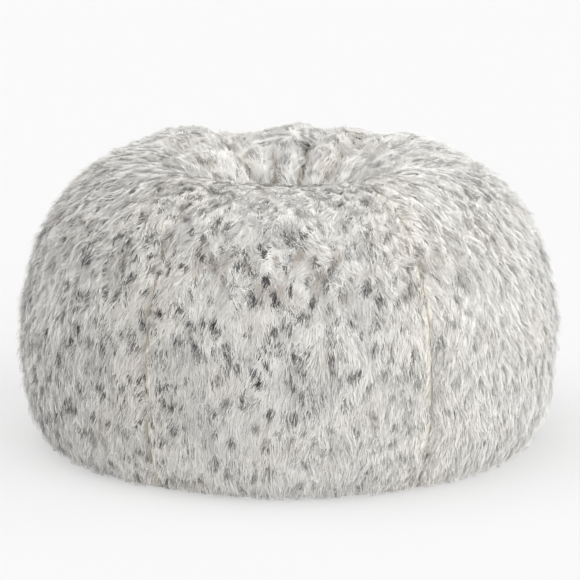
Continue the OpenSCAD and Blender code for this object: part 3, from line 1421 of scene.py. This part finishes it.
        points, faces = self.lock_shape(size)
        t = points[:, 2]
        combed = self.comb(at, spin, length, lift, t)
        pull = gathered[:, None, :] * (t[None, :, None] ** 1.4)
        lie = at.flow * np.cos(spin)[:, None] + at.side * np.sin(spin)[:, None]
        across = unit(np.cross(at.up, lie))
        roll = rng.normal(0.0, self.roll, count)
        wide = across * np.cos(roll)[:, None] + at.up * np.sin(roll)[:, None]
        thick = np.cross(lie, wide)
        broad = size.width * rng.uniform(0.7, 1.3, count)
        body = wide[:, None, :] * points[None, :, 0, None] + thick[:, None, :] * (
            points[None, :, 1, None] * self.flatness
        )
        placed = combed + pull + body * broad[:, None, None]
        placed[..., 2] = np.maximum(placed[..., 2], self.floor_gap)
        shade = unit(at.up[:, None, :] + body * 0.10 + self.tilt(at)[:, None, :])

        piece = self.mesh_of(f"{size.layer.value}_{panel.node}", placed, faces, shade)
        give_value(piece, "along", np.tile(t, count))
        root = self.print_on(piece, panel, at, placed, rng)
        self.lay_out_bake(piece, root, points)
        return piece

    def spin(self, at: Roots, size: LockSize, rng: np.random.Generator) -> np.ndarray:
        """Turns each lock from the way the pile is brushed.

        Args:
            at: The roots.
            size: The kind of lock.
            rng: The source of chance.

        Returns:
            A turn for each lock, in radians.
        """
        past = at.arc - self.crest_arc
        mussed = 2.6 * bell(past + 0.04, 0.05) + 0.5 * bell(past, 0.16)
        spin = self.swirl(at.place) + (at.lot[:, 0] - 0.5) * (0.60 + 1.2 * at.shoulder + mussed)
        spin = spin + rng.normal(0.0, size.scatter, len(at.row)) * (1 + at.shoulder)
        return spin + np.sign(at.seam_gap) * at.parted * 0.40

    def reach(self, at: Roots, size: LockSize, rng: np.random.Generator) -> tuple:
        """Chooses how long each lock is and how far its tip stands off the cloth.

        Args:
            at: The roots.
            size: The kind of lock.
            rng: The source of chance.

        Returns:
            Lengths and lifts, in metres.
        """
        count = len(at.row)
        length = size.length * (0.78 + 0.44 * at.lot[:, 1]) * rng.uniform(0.8, 1.15, count)
        length = length * (1.0 - 0.12 * at.parted)
        lift = size.lift * (0.40 + 1.2 * at.lot[:, 2]) * rng.uniform(0.5, 1.6, count)
        lift = lift * (1.0 - 0.3 * at.parted) * (1 + 0.5 * at.shoulder)
        return length, lift * (1.0 + 0.35 * at.fore) * (1.0 - 0.55 * self.on_crest(at.arc))

    def tilt(self, at: Roots) -> np.ndarray:
        """Leans the shading of each lock with its tuft, and upwards on the rim's crest.

        Args:
            at: The roots.

        Returns:
            A vector for each lock, to be added to its normals.
        """
        fall = bell(at.arc - self.crest_arc + 0.045, 0.055)
        tilt = at.side * ((at.lot[:, 0] - 0.5) * 0.14)[:, None]
        tilt = tilt + at.flow * (0.1 + 0.10 * at.fore)[:, None]
        tilt = tilt + np.array([0.0, 0.0, 1.1]) * self.on_crest(at.arc)[:, None]
        return tilt + at.flow * fall[:, None]

    def on_crest(self, arc: np.ndarray) -> np.ndarray:
        """How near the rim's crest, on its inner side, from 0 to 1."""
        return bell(arc - self.crest_arc + 0.02, 0.07)

    def print_on(
        self,
        piece: bpy.types.Object,
        panel: Panel,
        at: Roots,
        placed: np.ndarray,
        rng: np.random.Generator,
    ) -> np.ndarray:
        """Stores what the fur's finish reads: the place on the printed cloth, and the zones.

        Args:
            piece: The planted pile.
            panel: The panel.
            at: The roots.
            placed: Vertices by (lock, vertex, 3).
            rng: The source of chance.

        Returns:
            Each root's place on the cloth, and its light level, partly chance and partly painted
            light.
        """
        count, each = placed.shape[:2]
        cloth = cloth_place(panel, at.arc, at.angle, at.place, at.radius)
        # Partly chance, partly painted light: locks further down their tuft lie on top and are
        # lighter, those under the tip of the tuft above are darker.
        chance = rng.random(count) * 0.14 + at.lot[:, 0] * 0.36 + (at.fore + 0.5) * 0.50
        root = np.stack([cloth[:, 0], cloth[:, 1], chance], axis=1)
        printed = np.repeat(root[:, None, :], each, axis=1)
        moved = placed - at.place[:, None, :]
        if panel.is_crown:
            printed[..., :2] += moved[..., :2]
        else:
            printed[..., 0] += np.sum(moved * at.side[:, None, :], axis=2)
            printed[..., 1] += np.sum(moved * at.flow[:, None, :], axis=2)
        printed[..., 0] += rng.normal(0.0, 0.0010, count)[:, None]
        printed[..., 1] += rng.normal(0.0, 0.0030, count)[:, None]
        give_vector(piece, "root", printed)
        zones = {
            "across": np.zeros(count) if panel.is_crown else panel.across(at.angle),
            "shoulder": at.shoulder,
            "ink_and_painted_light": self.ink_and_painted_light(at.arc, at.angle),
            # Painted shade of the creases and the hem's groove.
            "crease": self.form.read(self.form.creases, at.row, at.column)[:, 0],
        }
        for name, values in zones.items():
            give_value(piece, name, np.repeat(values, each))
        return root

    def comb(
        self, at: Roots, spin: np.ndarray, length: np.ndarray, lift: np.ndarray, t: np.ndarray
    ) -> np.ndarray:
        """Lays the middle line of each lock along the curved cloth.

        Args:
            at: The roots.
            spin: Each lock's turn from the way the pile is brushed, in radians.
            length: Each lock's length.
            lift: How far each tip stands off the cloth.
            t: Share of the length at each vertex of a lock.

        Returns:
            Points (lock, vertex, 3).
        """
        form = self.form
        pitch = np.gradient(form.arc)[np.minimum(at.row.astype(int), len(form.arc) - 1)]
        turn = COLUMNS / math.tau / np.maximum(at.radius, 0.03)
        levels, which = np.unique(np.round(t, 3), return_inverse=True)
        out = np.empty((len(at.row), len(levels), 3))
        for i, share in enumerate(levels):
            ahead = at.row + share * length * np.cos(spin) / pitch
            aside = at.column + share * length * np.sin(spin) * turn
            within = np.clip(ahead, 0.0, form.last_place)
            rise = -0.06 if share <= 0.0 else (0.80 if share < 0.9 else 1.0)
            place = form.read(form.grid, within, aside)
            place = place + unit(form.read(form.normals, within, aside)) * (rise * lift)[:, None]
            out[:, i] = place + at.flow * ((ahead - within) * pitch)[:, None]
        return out[:, which]

    def flow(self, up: np.ndarray, row: np.ndarray, column: np.ndarray) -> np.ndarray:
        """The way the pile is brushed: out from the crown, over the rim and down.

        Args:
            up: The cloth's normal at each root.
            row: The roots' rows.
            column: Their columns.

        Returns:
            A unit direction in the cloth's surface for each root.
        """
        form = self.form
        ahead = form.read(form.grid, np.minimum(row + 0.6, form.last_place), column)
        behind = form.read(form.grid, np.maximum(row - 0.6, 0.0), column)
        flow = ahead - behind
        flow = flow - up * np.sum(flow * up, axis=1)[:, None]
        return unit(flow)

    def swirl(self, place: np.ndarray) -> np.ndarray:
        """Slow turns in the lie of the pile, in radians."""
        x, y, z = place[:, 0], place[:, 1], place[:, 2]
        turn = np.sin(17 * x + 9 * y - 13 * z + 0.6) + np.sin(-11 * x + 21 * y + 8 * z + 2.1)
        fine = np.sin(45 * x - 31 * y + 38 * z + 1.3) + np.sin(29 * x + 52 * y - 41 * z + 4.0)
        return 0.11 * turn + 0.08 * fine - 0.06

    def shoulder(self, arc: np.ndarray, angle: np.ndarray) -> np.ndarray:
        """How ruffled the pile is, mostly on the front's shoulder."""
        front = 0.35 + 0.65 * bell(turn_between(angle, 268.0), 24.0)
        return bell(arc - self.shoulder_arc, 0.070) * front

    def ink_and_painted_light(self, arc: np.ndarray, angle: np.ndarray) -> np.ndarray:
        """How strongly the cloth is printed, with painted light in it: faintest on the lit front
        right gore, strongest on the shaded left.
        """
        front = bell(turn_between(angle, 268.0), 20.0) * bell(arc - self.shoulder_arc - 0.12, 0.16)
        # Painted light: more print on the shaded left side, less on the lit right side.
        left = bell(turn_between(angle, 205.0), 40.0)
        right = bell(turn_between(angle, 330.0), 28.0)
        crest = bell(arc - self.crest_arc, 0.09)
        low = smooth_step(self.shoulder_arc + 0.20, self.shoulder_arc + 0.40, arc)
        return 0.90 + 0.25 * front + 0.40 * left - 0.60 * right - 0.30 * crest - 0.24 * low

    @staticmethod
    def mesh_of(
        name: str, placed: np.ndarray, faces: np.ndarray, shade: np.ndarray
    ) -> bpy.types.Object:
        """Joins copies of one lock into a mesh.

        Args:
            name: The piece's name.
            placed: Vertices by (lock, vertex, 3).
            faces: One lock's triangles.
            shade: Normals by (lock, vertex, 3).

        Returns:
            The piece.
        """
        count, each = placed.shape[:2]
        corners = (faces[None, :, :] + np.arange(count)[:, None, None] * each).ravel()
        mesh = bpy.data.meshes.new(name)
        mesh.vertices.add(count * each)
        mesh.vertices.foreach_set("co", placed.astype(np.float32).ravel())
        mesh.loops.add(len(corners))
        mesh.loops.foreach_set("vertex_index", corners.astype(np.int32))
        total = count * len(faces)
        mesh.polygons.add(total)
        mesh.polygons.foreach_set("loop_start", np.arange(0, 3 * total, 3, dtype=np.int32))
        mesh.polygons.foreach_set("use_smooth", np.ones(total, dtype=bool))
        mesh.update(calc_edges=True)
        mesh.normals_split_custom_set_from_vertices(shade.reshape(-1, 3).astype(np.float32))
        piece = bpy.data.objects.new(name, mesh)
        bpy.context.scene.collection.objects.link(piece)
        return piece

    @staticmethod
    def lay_out_bake(piece: bpy.types.Object, root: np.ndarray, points: np.ndarray) -> None:
        """Gives each lock its own small cell of a map, near its neighbours on the cloth.

        Args:
            piece: The planted pile.
            root: Each lock's place on the cloth.
            points: One lock's vertices.
        """
        count = len(root)
        side = math.ceil(math.sqrt(count))
        line = np.empty(count, dtype=int)
        line[np.argsort(root[:, 1], kind="stable")] = np.arange(count)
        band = line // side
        order = np.lexsort((root[:, 0], band))
        slot_ = np.empty(count, dtype=int)
        slot_[order] = np.arange(count)
        cell_x, cell_y = slot_ % side, slot_ // side
        u = (cell_x[:, None] + 0.1 + 0.8 * np.clip(points[None, :, 0] + 0.5, 0, 1)) / side
        v = (cell_y[:, None] + 0.1 + 0.8 * points[None, :, 2]) / side
        per_point = np.stack([u, v], axis=2).reshape(-1, 2)
        layer = piece.data.uv_layers.new(name=BAKE_MAP)
        corner = np.empty(len(piece.data.loops), dtype=np.int32)
        piece.data.loops.foreach_get("vertex_index", corner)
        layer.uv.foreach_set("vector", per_point[corner].astype(np.float32).ravel())


def hashed(cell: np.ndarray) -> np.ndarray:
    """Three chances from 0 to 1 for each whole-number cell, always the same.

    Args:
        cell: Rows of three whole numbers.

    Returns:
        Rows of three chances.
    """
    i, j, k = (cell[:, n] * factor for n, factor in enumerate(CELL_FACTORS))
    mixed = i ^ j ^ k
    out = []
    for salt in SALTS:
        h = (mixed + salt) * 2654435761 & WORD
        h = (h ^ (h >> 15)) * 2246822519 & WORD
        h = (h ^ (h >> 13)) * 3266489917 & WORD
        out.append(((h ^ (h >> 16)) & CHANCES) / float(CHANCES))
    return np.stack(out, axis=1)


def cloth_place(
    panel: Panel, arc: np.ndarray, angle: np.ndarray, place: np.ndarray, radius: np.ndarray
) -> np.ndarray:
    """Where each point lies on the flat printed cloth before it was cut and sewn.

    Args:
        panel: The panel that the points are on.
        arc: Distance from the crown along the cloth.
        angle: Angle round the bag, in degrees.
        place: The points.
        radius: Their distance from the middle axis.

    Returns:
        Rows (across, along) in metres.
    """
    if panel.is_crown:
        return np.stack([place[:, 0] + CROWN_PRINT, place[:, 1]], axis=1)
    middle = GORE_ANGLE * panel.index + HALF_GORE
    across = np.radians(turn_between(angle, middle)) * radius
    return np.stack([across + GORE_PRINT * panel.index, arc], axis=1)


def give_value(piece: bpy.types.Object, name: str, values: np.ndarray) -> None:
    """Stores one number on each vertex."""
    made = piece.data.attributes.new(name, "FLOAT", "POINT")
    made.data.foreach_set("value", values.astype(np.float32).ravel())


def give_vector(piece: bpy.types.Object, name: str, values: np.ndarray) -> None:
    """Stores one vector on each vertex."""
    made = piece.data.attributes.new(name, "FLOAT_VECTOR", "POINT")
    made.data.foreach_set("vector", values.astype(np.float32).ravel())


# ---- Sub-assemblies


@dataclass
class FurCover:
    """The fur cover: six gores and a crown, each a backing cloth with two layers of pile."""

    form: BagForm
    cloth_thickness: float = 0.002
    shoulder_height: float = 0.425

    def backing(self, panel: Panel, material: bpy.types.Material) -> bpy.types.Object:
        """Models one panel's backing cloth on the filled form.

        Args:
            panel: The panel.
            material: Its finish.

        Returns:
            A closed sheet of cloth.
        """
        rows, columns = panel.spread()
        name = f"backing_{panel.node}"
        piece = self.form.cut(name, rows, columns, 0.0, self.cloth_thickness)
        row, column, across = self.spots_of(piece)
        place = points_of(piece)
        angle = column * 360.0 / COLUMNS
        radius = np.hypot(*place[:, :2].T)
        cloth = cloth_place(panel, self.form.arc_of(row), angle, place, radius)
        give_vector(piece, "root", np.column_stack([cloth, np.full(len(row), 0.4)]))
        give_value(piece, "across", np.zeros(len(row)) if panel.is_crown else across)
        levels = {"along": 0.25, "shoulder": 0.0, "ink_and_painted_light": 0.8, "crease": 0.0}
        for zone, level in levels.items():
            give_value(piece, zone, np.full(len(row), level))
        dress(piece, material)
        return piece

    @staticmethod
    def spots_of(piece: bpy.types.Object) -> tuple:
        """Reads where on the form each vertex of a cut sheet came from.

        Args:
            piece: The sheet.

        Returns:
            Rows, columns and places across the sheet from -1 to 1.
        """
        flat = np.empty(len(piece.data.vertices) * 3, dtype=np.float32)
        piece.data.attributes["spot"].data.foreach_get("vector", flat)
        return tuple(flat.reshape(-1, 3).astype(float).T)

    def build(self) -> None:
        """Models the panels and their pile."""
        fur = FurFinish("fur_pile").material()
        ground = FurFinish("fur_backing", depth_shade=0.6, sheen=0.0).material()
        pile = Pile(self.form, self.arc_at_height(self.shoulder_height), self.form.crest())
        for panel in panels(GORE_NODES["fur"], "fur_crown_panel", self.form):
            backing = self.backing(panel, ground)
            settle(backing, "fur", panel.node)
            faces = len(backing.data.polygons)
            for size in LOCKS:
                layer = pile.plant(panel, size)
                dress(layer, fur)
                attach(layer, BAG_BODY)
                faces += len(layer.data.polygons)
            LOG.info("%s: %d faces", panel.node, faces)

    def arc_at_height(self, height: float) -> float:
        """Distance along the cloth from the crown to a height on the outside.

        Args:
            height: Height above the floor, in metres.

        Returns:
            The distance, in metres.
        """
        outside = self.form.rows[:, 0] > self.form.rim_radius + 0.02
        z = self.form.rows[outside, 1][::-1]
        return float(np.interp(height, z, self.form.arc[outside][::-1]))


@dataclass
class SeamTapes:
    """The woven tapes sewn over the inside of the cover's six long seams."""

    form: BagForm
    width: float = 0.024
    depth: float = 0.0024
    thickness: float = 0.0011
    rows_on_crown: int = 1
    rows_off_foot: int = 4
    points_across: int = 7

    def build(self, material: bpy.types.Material) -> None:
        """Models each tape along its seam and joins the six.

        Args:
            material: Their finish.
        """
        first = self.form.crown_rows - self.rows_on_crown
        rows = np.arange(first, len(self.form.rows) - self.rows_off_foot).astype(float)
        radius = self.form.rows[rows.astype(int), 0]
        reach = self.width / 2 / radius * COLUMNS / math.tau
        spread = reach[:, None] * np.linspace(-1.0, 1.0, self.points_across)[None, :]
        strips = []
        for i in range(GORES):
            columns = spread + i * COLUMNS_PER_GORE
            name = f"seam_tape_{i}"
            strips.append(self.form.cut(name, rows, columns, self.depth, self.thickness))
        pick(strips[0])
        for strip in strips[1:]:
            strip.select_set(True)
        bpy.ops.object.join()
        tapes = bpy.context.object
        tapes.name = tapes.data.name = "seam_tapes"
        dress(tapes, material)
        settle(tapes, "seam_tape", "cover_seam_tapes")
        LOG.info("seam_tapes: %d faces", len(tapes.data.polygons))


@dataclass
class Liner:
    """The cotton liner under the cover: six gores and a crown."""

    form: BagForm
    depth: float = 0.0050
    thickness: float = 0.0012

    def build(self, material: bpy.types.Material) -> None:
        """Models each panel of the liner.

        Args:
            material: Its finish.
        """
        for panel in panels(GORE_NODES["liner"], "liner_crown_panel", self.form):
            rows, columns = panel.spread()
            name = f"cloth_{panel.node}"
            piece = self.form.cut(name, rows, columns, self.depth, self.thickness)
            dress(piece, material)
            settle(piece, "liner_cloth", panel.node)
            LOG.info("%s: %d faces", name, len(piece.data.polygons))


@dataclass(frozen=True)
class Pocket:
    """A hollow in the flat bottom of the beads, over one of the zips.

    Attributes:
        length: Its length along X, in metres.
        half_width: Half its width.
        middle: Its place along Y.
        top: Its top above the floor.
        below: How far the cutting block goes under the floor.
    """

    length: float
    half_width: float
    middle: float
    top: float
    below: float = 0.02


@dataclass
class BeadFilling:
    """The beads, as the one mass that fills the liner."""

    form: BagForm
    depth: float = 0.0075
    pockets: tuple = (
        Pocket(0.7122, 0.0301, 0.0, 0.0152),
        Pocket(0.3644, 0.0262, 0.150, 0.0161),
    )

    def build(self, mould: bpy.types.Object, material: bpy.types.Material) -> None:
        """Shrinks the filled form inside the liner and presses the pockets into its bottom.

        Args:
            mould: The plain turned form's mesh, already filled.
            material: The beads' finish.
        """
        mould.name = mould.data.name = "beads"
        mould.vertex_groups.clear()
        points = points_of(mould)
        row, column = self.form.homes
        skin = row >= 0
        points[skin] = self.form.layer(
            row[skin].astype(float), column[skin].astype(float), self.depth
        )
        points[~skin, 2] = self.depth - self.form.inner_drop
        set_points(mould, points)
        for pocket in self.pockets:
            self.press(mould, pocket)
        pick(mould)
        bpy.ops.object.shade_smooth_by_angle(angle=math.radians(40))
        dress(mould, material)
        settle(mould, "beads", "bead_filling")
        LOG.info("beads: %d faces", len(mould.data.polygons))

    @staticmethod
    def press(beads: bpy.types.Object, pocket: Pocket) -> None:
        """Cuts one pocket out of the beads' bottom."""
        clear_selection()
        bpy.ops.mesh.primitive_cube_add(size=1.0)
        block = bpy.context.object
        high = pocket.top + pocket.below
        bpy.ops.transform.resize(value=(pocket.length, 2 * pocket.half_width, high))
        move = (0.0, pocket.middle, pocket.top - high / 2)
        bpy.ops.transform.translate(value=move)
        bpy.ops.object.transform_apply(location=True, rotation=True, scale=True)
        cut = beads.modifiers.new("pocket", "BOOLEAN")
        cut.operation, cut.solver, cut.object = "DIFFERENCE", "EXACT", block
        apply_modifiers(beads)
        mesh = block.data
        bpy.data.objects.remove(block)
        bpy.data.meshes.remove(mesh)


@dataclass
class SoftFinishes:
    """The cloths and beads that more than one sub-assembly shares."""

    canvas: bpy.types.Material
    liner: bpy.types.Material
    tape: bpy.types.Material
    beads: bpy.types.Material

    @classmethod
    def mix(cls) -> "SoftFinishes":
        """Makes each finish once.

        Returns:
            The finishes.
        """
        return cls(
            canvas=WovenFinish("base_canvas", (0.55, 0.54, 0.52), 0.0016).material(),
            liner=WovenFinish("liner_cotton", (0.85, 0.84, 0.82), 0.0009).material(),
            tape=WovenFinish("woven_tape", (0.62, 0.61, 0.58), 0.0011, 0.8, True).material(),
            beads=BeadFinish("foam_beads").material(),
        )


@dataclass
class FrameFinishes:
    """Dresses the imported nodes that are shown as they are."""

    nodes: dict
    soft: SoftFinishes

    def build(self) -> None:
        """Gives each remaining node its finish."""
        plastic = HardFinish("zip_teeth_plastic", (0.45, 0.45, 0.45), 0.0, 0.42).material()
        metal = HardFinish("zip_nickel", (0.62, 0.62, 0.64), 1.0, 0.28).material()
        kinds = (
            ("liner_base", self.soft.liner),
            ("zip_tape", self.soft.tape),
            ("teeth", plastic),
            ("stops", metal),
            ("slider", metal),
            ("pull_tab", metal),
            ("base_", self.soft.canvas),
        )
        for name, node in self.nodes.items():
            for word, material in kinds:
                if word in name:
                    dress(node, material)
                    LOG.info("%s: %s", name, material.name)
                    break


@dataclass(frozen=True)
class Sun:
    """One broad distant light.

    Attributes:
        name: Its name.
        toward: The direction that it comes from.
        strength: Its strength.
        softness: Its angle across, in degrees.
    """

    name: str
    toward: tuple
    strength: float
    softness: float

    def build(self) -> None:
        """Adds the light."""
        clear_selection()
        bpy.ops.object.light_add(type="SUN", location=self.toward)
        lamp = bpy.context.object
        lamp.name = self.name
        lamp.data.energy = self.strength
        lamp.data.angle = math.radians(self.softness)
        lamp.rotation_euler = (-Vector(self.toward)).to_track_quat("-Z", "Y").to_euler()


@dataclass
class Studio:
    """A pale floor, soft lights and the camera."""

    floor_radius: float = 60.0
    floor_gap: float = 0.0002
    horizon: float = 0.82
    zenith: float = 0.55
    tilt: float = 12.5
    centre: tuple = (0.002, 0.0, 0.278)
    distance: float = 5.0
    lens: float = 161.8
    sensor: float = 36.0
    suns: tuple = (
        Sun("soft_key", (3.0, -1.2, 0.60), 2.5, 100.0),
        Sun("soft_top", (-0.9, -0.2, 3.0), 1.5, 60.0),
        Sun("soft_front", (1.6, -3.0, 0.2), 0.85, 110.0),
    )

    def floor(self) -> bpy.types.Object:
        """Models the floor as a wide disc.

        Returns:
            The floor.
        """
        clear_selection()
        place = (0.0, 0.0, -self.floor_gap)
        bpy.ops.mesh.primitive_circle_add(
            vertices=96, radius=self.floor_radius, fill_type="NGON", location=place
        )
        floor = bpy.context.object
        floor.name = "studio_floor"
        bpy.ops.object.transform_apply(location=True, rotation=True, scale=True)
        bpy.ops.object.mode_set(mode="EDIT")
        bpy.ops.mesh.select_all(action="SELECT")
        bpy.ops.mesh.inset(thickness=1.0)
        bpy.ops.object.mode_set(mode="OBJECT")
        dress(floor, FloorFinish().material())
        floor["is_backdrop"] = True
        return floor

    def sky_light(self) -> None:
        """Sets pale surroundings, brightest round the horizon."""
        world = bpy.data.worlds.new("studio_white")
        bpy.context.scene.world = world
        world.use_nodes = True
        tree = world.node_tree
        where = tree.nodes.new("ShaderNodeTexCoord")
        split = tree.nodes.new("ShaderNodeSeparateXYZ")
        fade = tree.nodes.new("ShaderNodeMapRange")
        fade.interpolation_type = "SMOOTHSTEP"
        limits = (0.12, 0.50, self.horizon, self.zenith)
        for name, value in zip(("From Min", "From Max", "To Min", "To Max"), limits):
            fade.inputs[name].default_value = value
        tree.links.new(where.outputs["Generated"], split.inputs["Vector"])
        tree.links.new(split.outputs["Z"], fade.inputs["Value"])
        ground = tree.nodes["Background"]
        ground.inputs["Color"].default_value = (1.0, 1.0, 1.0, 1.0)
        tree.links.new(fade.outputs["Result"], ground.inputs["Strength"])

    def camera(self) -> None:
        """Places the camera in front, looking a little down through a long lens."""
        tilt = math.radians(self.tilt)
        back = Vector((0.0, -math.cos(tilt), math.sin(tilt)))
        clear_selection()
        place = Vector(self.centre) + back * self.distance
        bpy.ops.object.camera_add(location=place, rotation=(math.pi / 2 - tilt, 0.0, 0.0))
        camera = bpy.context.object
        camera.name = "studio_camera"
        camera.data.lens, camera.data.sensor_width = self.lens, self.sensor
        bpy.context.scene.camera = camera

    def build(self) -> None:
        """Sets up the floor, the light, the camera and the plain view."""
        self.floor()
        self.sky_light()
        for sun in self.suns:
            sun.build()
        self.camera()
        bpy.context.scene.view_settings.view_transform = "Standard"
        LOG.info("studio ready")


def rim_lifts() -> tuple:
    """The humps and hollows of the rim.

    Returns:
        One lift for each.
    """
    return (
        Lift(134.0, 0.021, 15.0),
        Lift(112.0, -0.007, 6.0),
        Lift(102.0, -0.004, 5.0),
        Lift(87.0, 0.013, 7.0),
        Lift(65.0, 0.010, 8.0),
        Lift(51.0, -0.008, 5.0),
        Lift(38.0, 0.014, 12.0),
        Lift(8.0, -0.015, 24.0),
        Lift(270.0, -0.014, 32.0),
    )


def seat_folds() -> tuple:
    """The creases where the gores gather into the seat.

    Returns:
        One fold for each, by (angle, distance from the crown) points.
    """
    return (
        Fold(((162.0, 0.12), (148.0, 0.19), (150.0, 0.27)), 0.024, 0.017),
        Fold(((116.0, 0.11), (122.0, 0.30)), 0.015, 0.015),
        Fold(((101.0, 0.08), (99.0, 0.22)), 0.024, 0.014),
        Fold(((80.0, 0.08), (82.0, 0.27)), 0.030, 0.015),
        Fold(((62.0, 0.10), (58.0, 0.30)), 0.015, 0.015),
        Fold(((42.0, 0.12), (32.0, 0.36)), 0.016, 0.018),
        Fold(((-20.0, 0.12), (-12.0, 0.20), (8.0, 0.33)), 0.018, 0.016),
        Fold(((206.0, 0.10), (210.0, 0.30)), 0.014, 0.015),
        Fold(((236.0, 0.10), (232.0, 0.26)), 0.012, 0.015),
        Fold(((304.0, 0.10), (306.0, 0.26)), 0.012, 0.015),
        Fold(((268.0, 0.10), (271.0, 0.24)), 0.010, 0.014),
    )


def main() -> None:
    """Builds every sub-assembly in order."""
    logging.basicConfig(level=logging.INFO, format="%(message)s", stream=sys.stdout)
    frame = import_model()
    low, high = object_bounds()
    base_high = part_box("base_panel_front")[1]
    form = BagForm(
        half_width=float(high[0]),
        height=float(high[2]),
        base_radius=float(base_high[0]) + HEM_GAP,
        lifts=rim_lifts(),
        folds=seat_folds(),
    )
    soft = SoftFinishes.mix()
    mould = form.model()
    form.fill(mould)
    LOG.info("bag form: %d vertices", len(mould.data.vertices))
    FurCover(form).build()
    SeamTapes(form).build(soft.tape)
    Liner(form).build(soft.liner)
    BeadFilling(form).build(mould, soft.beads)
    FrameFinishes(frame["nodes"], soft).build()
    Studio().build()


if __name__ == "__main__":
    main()
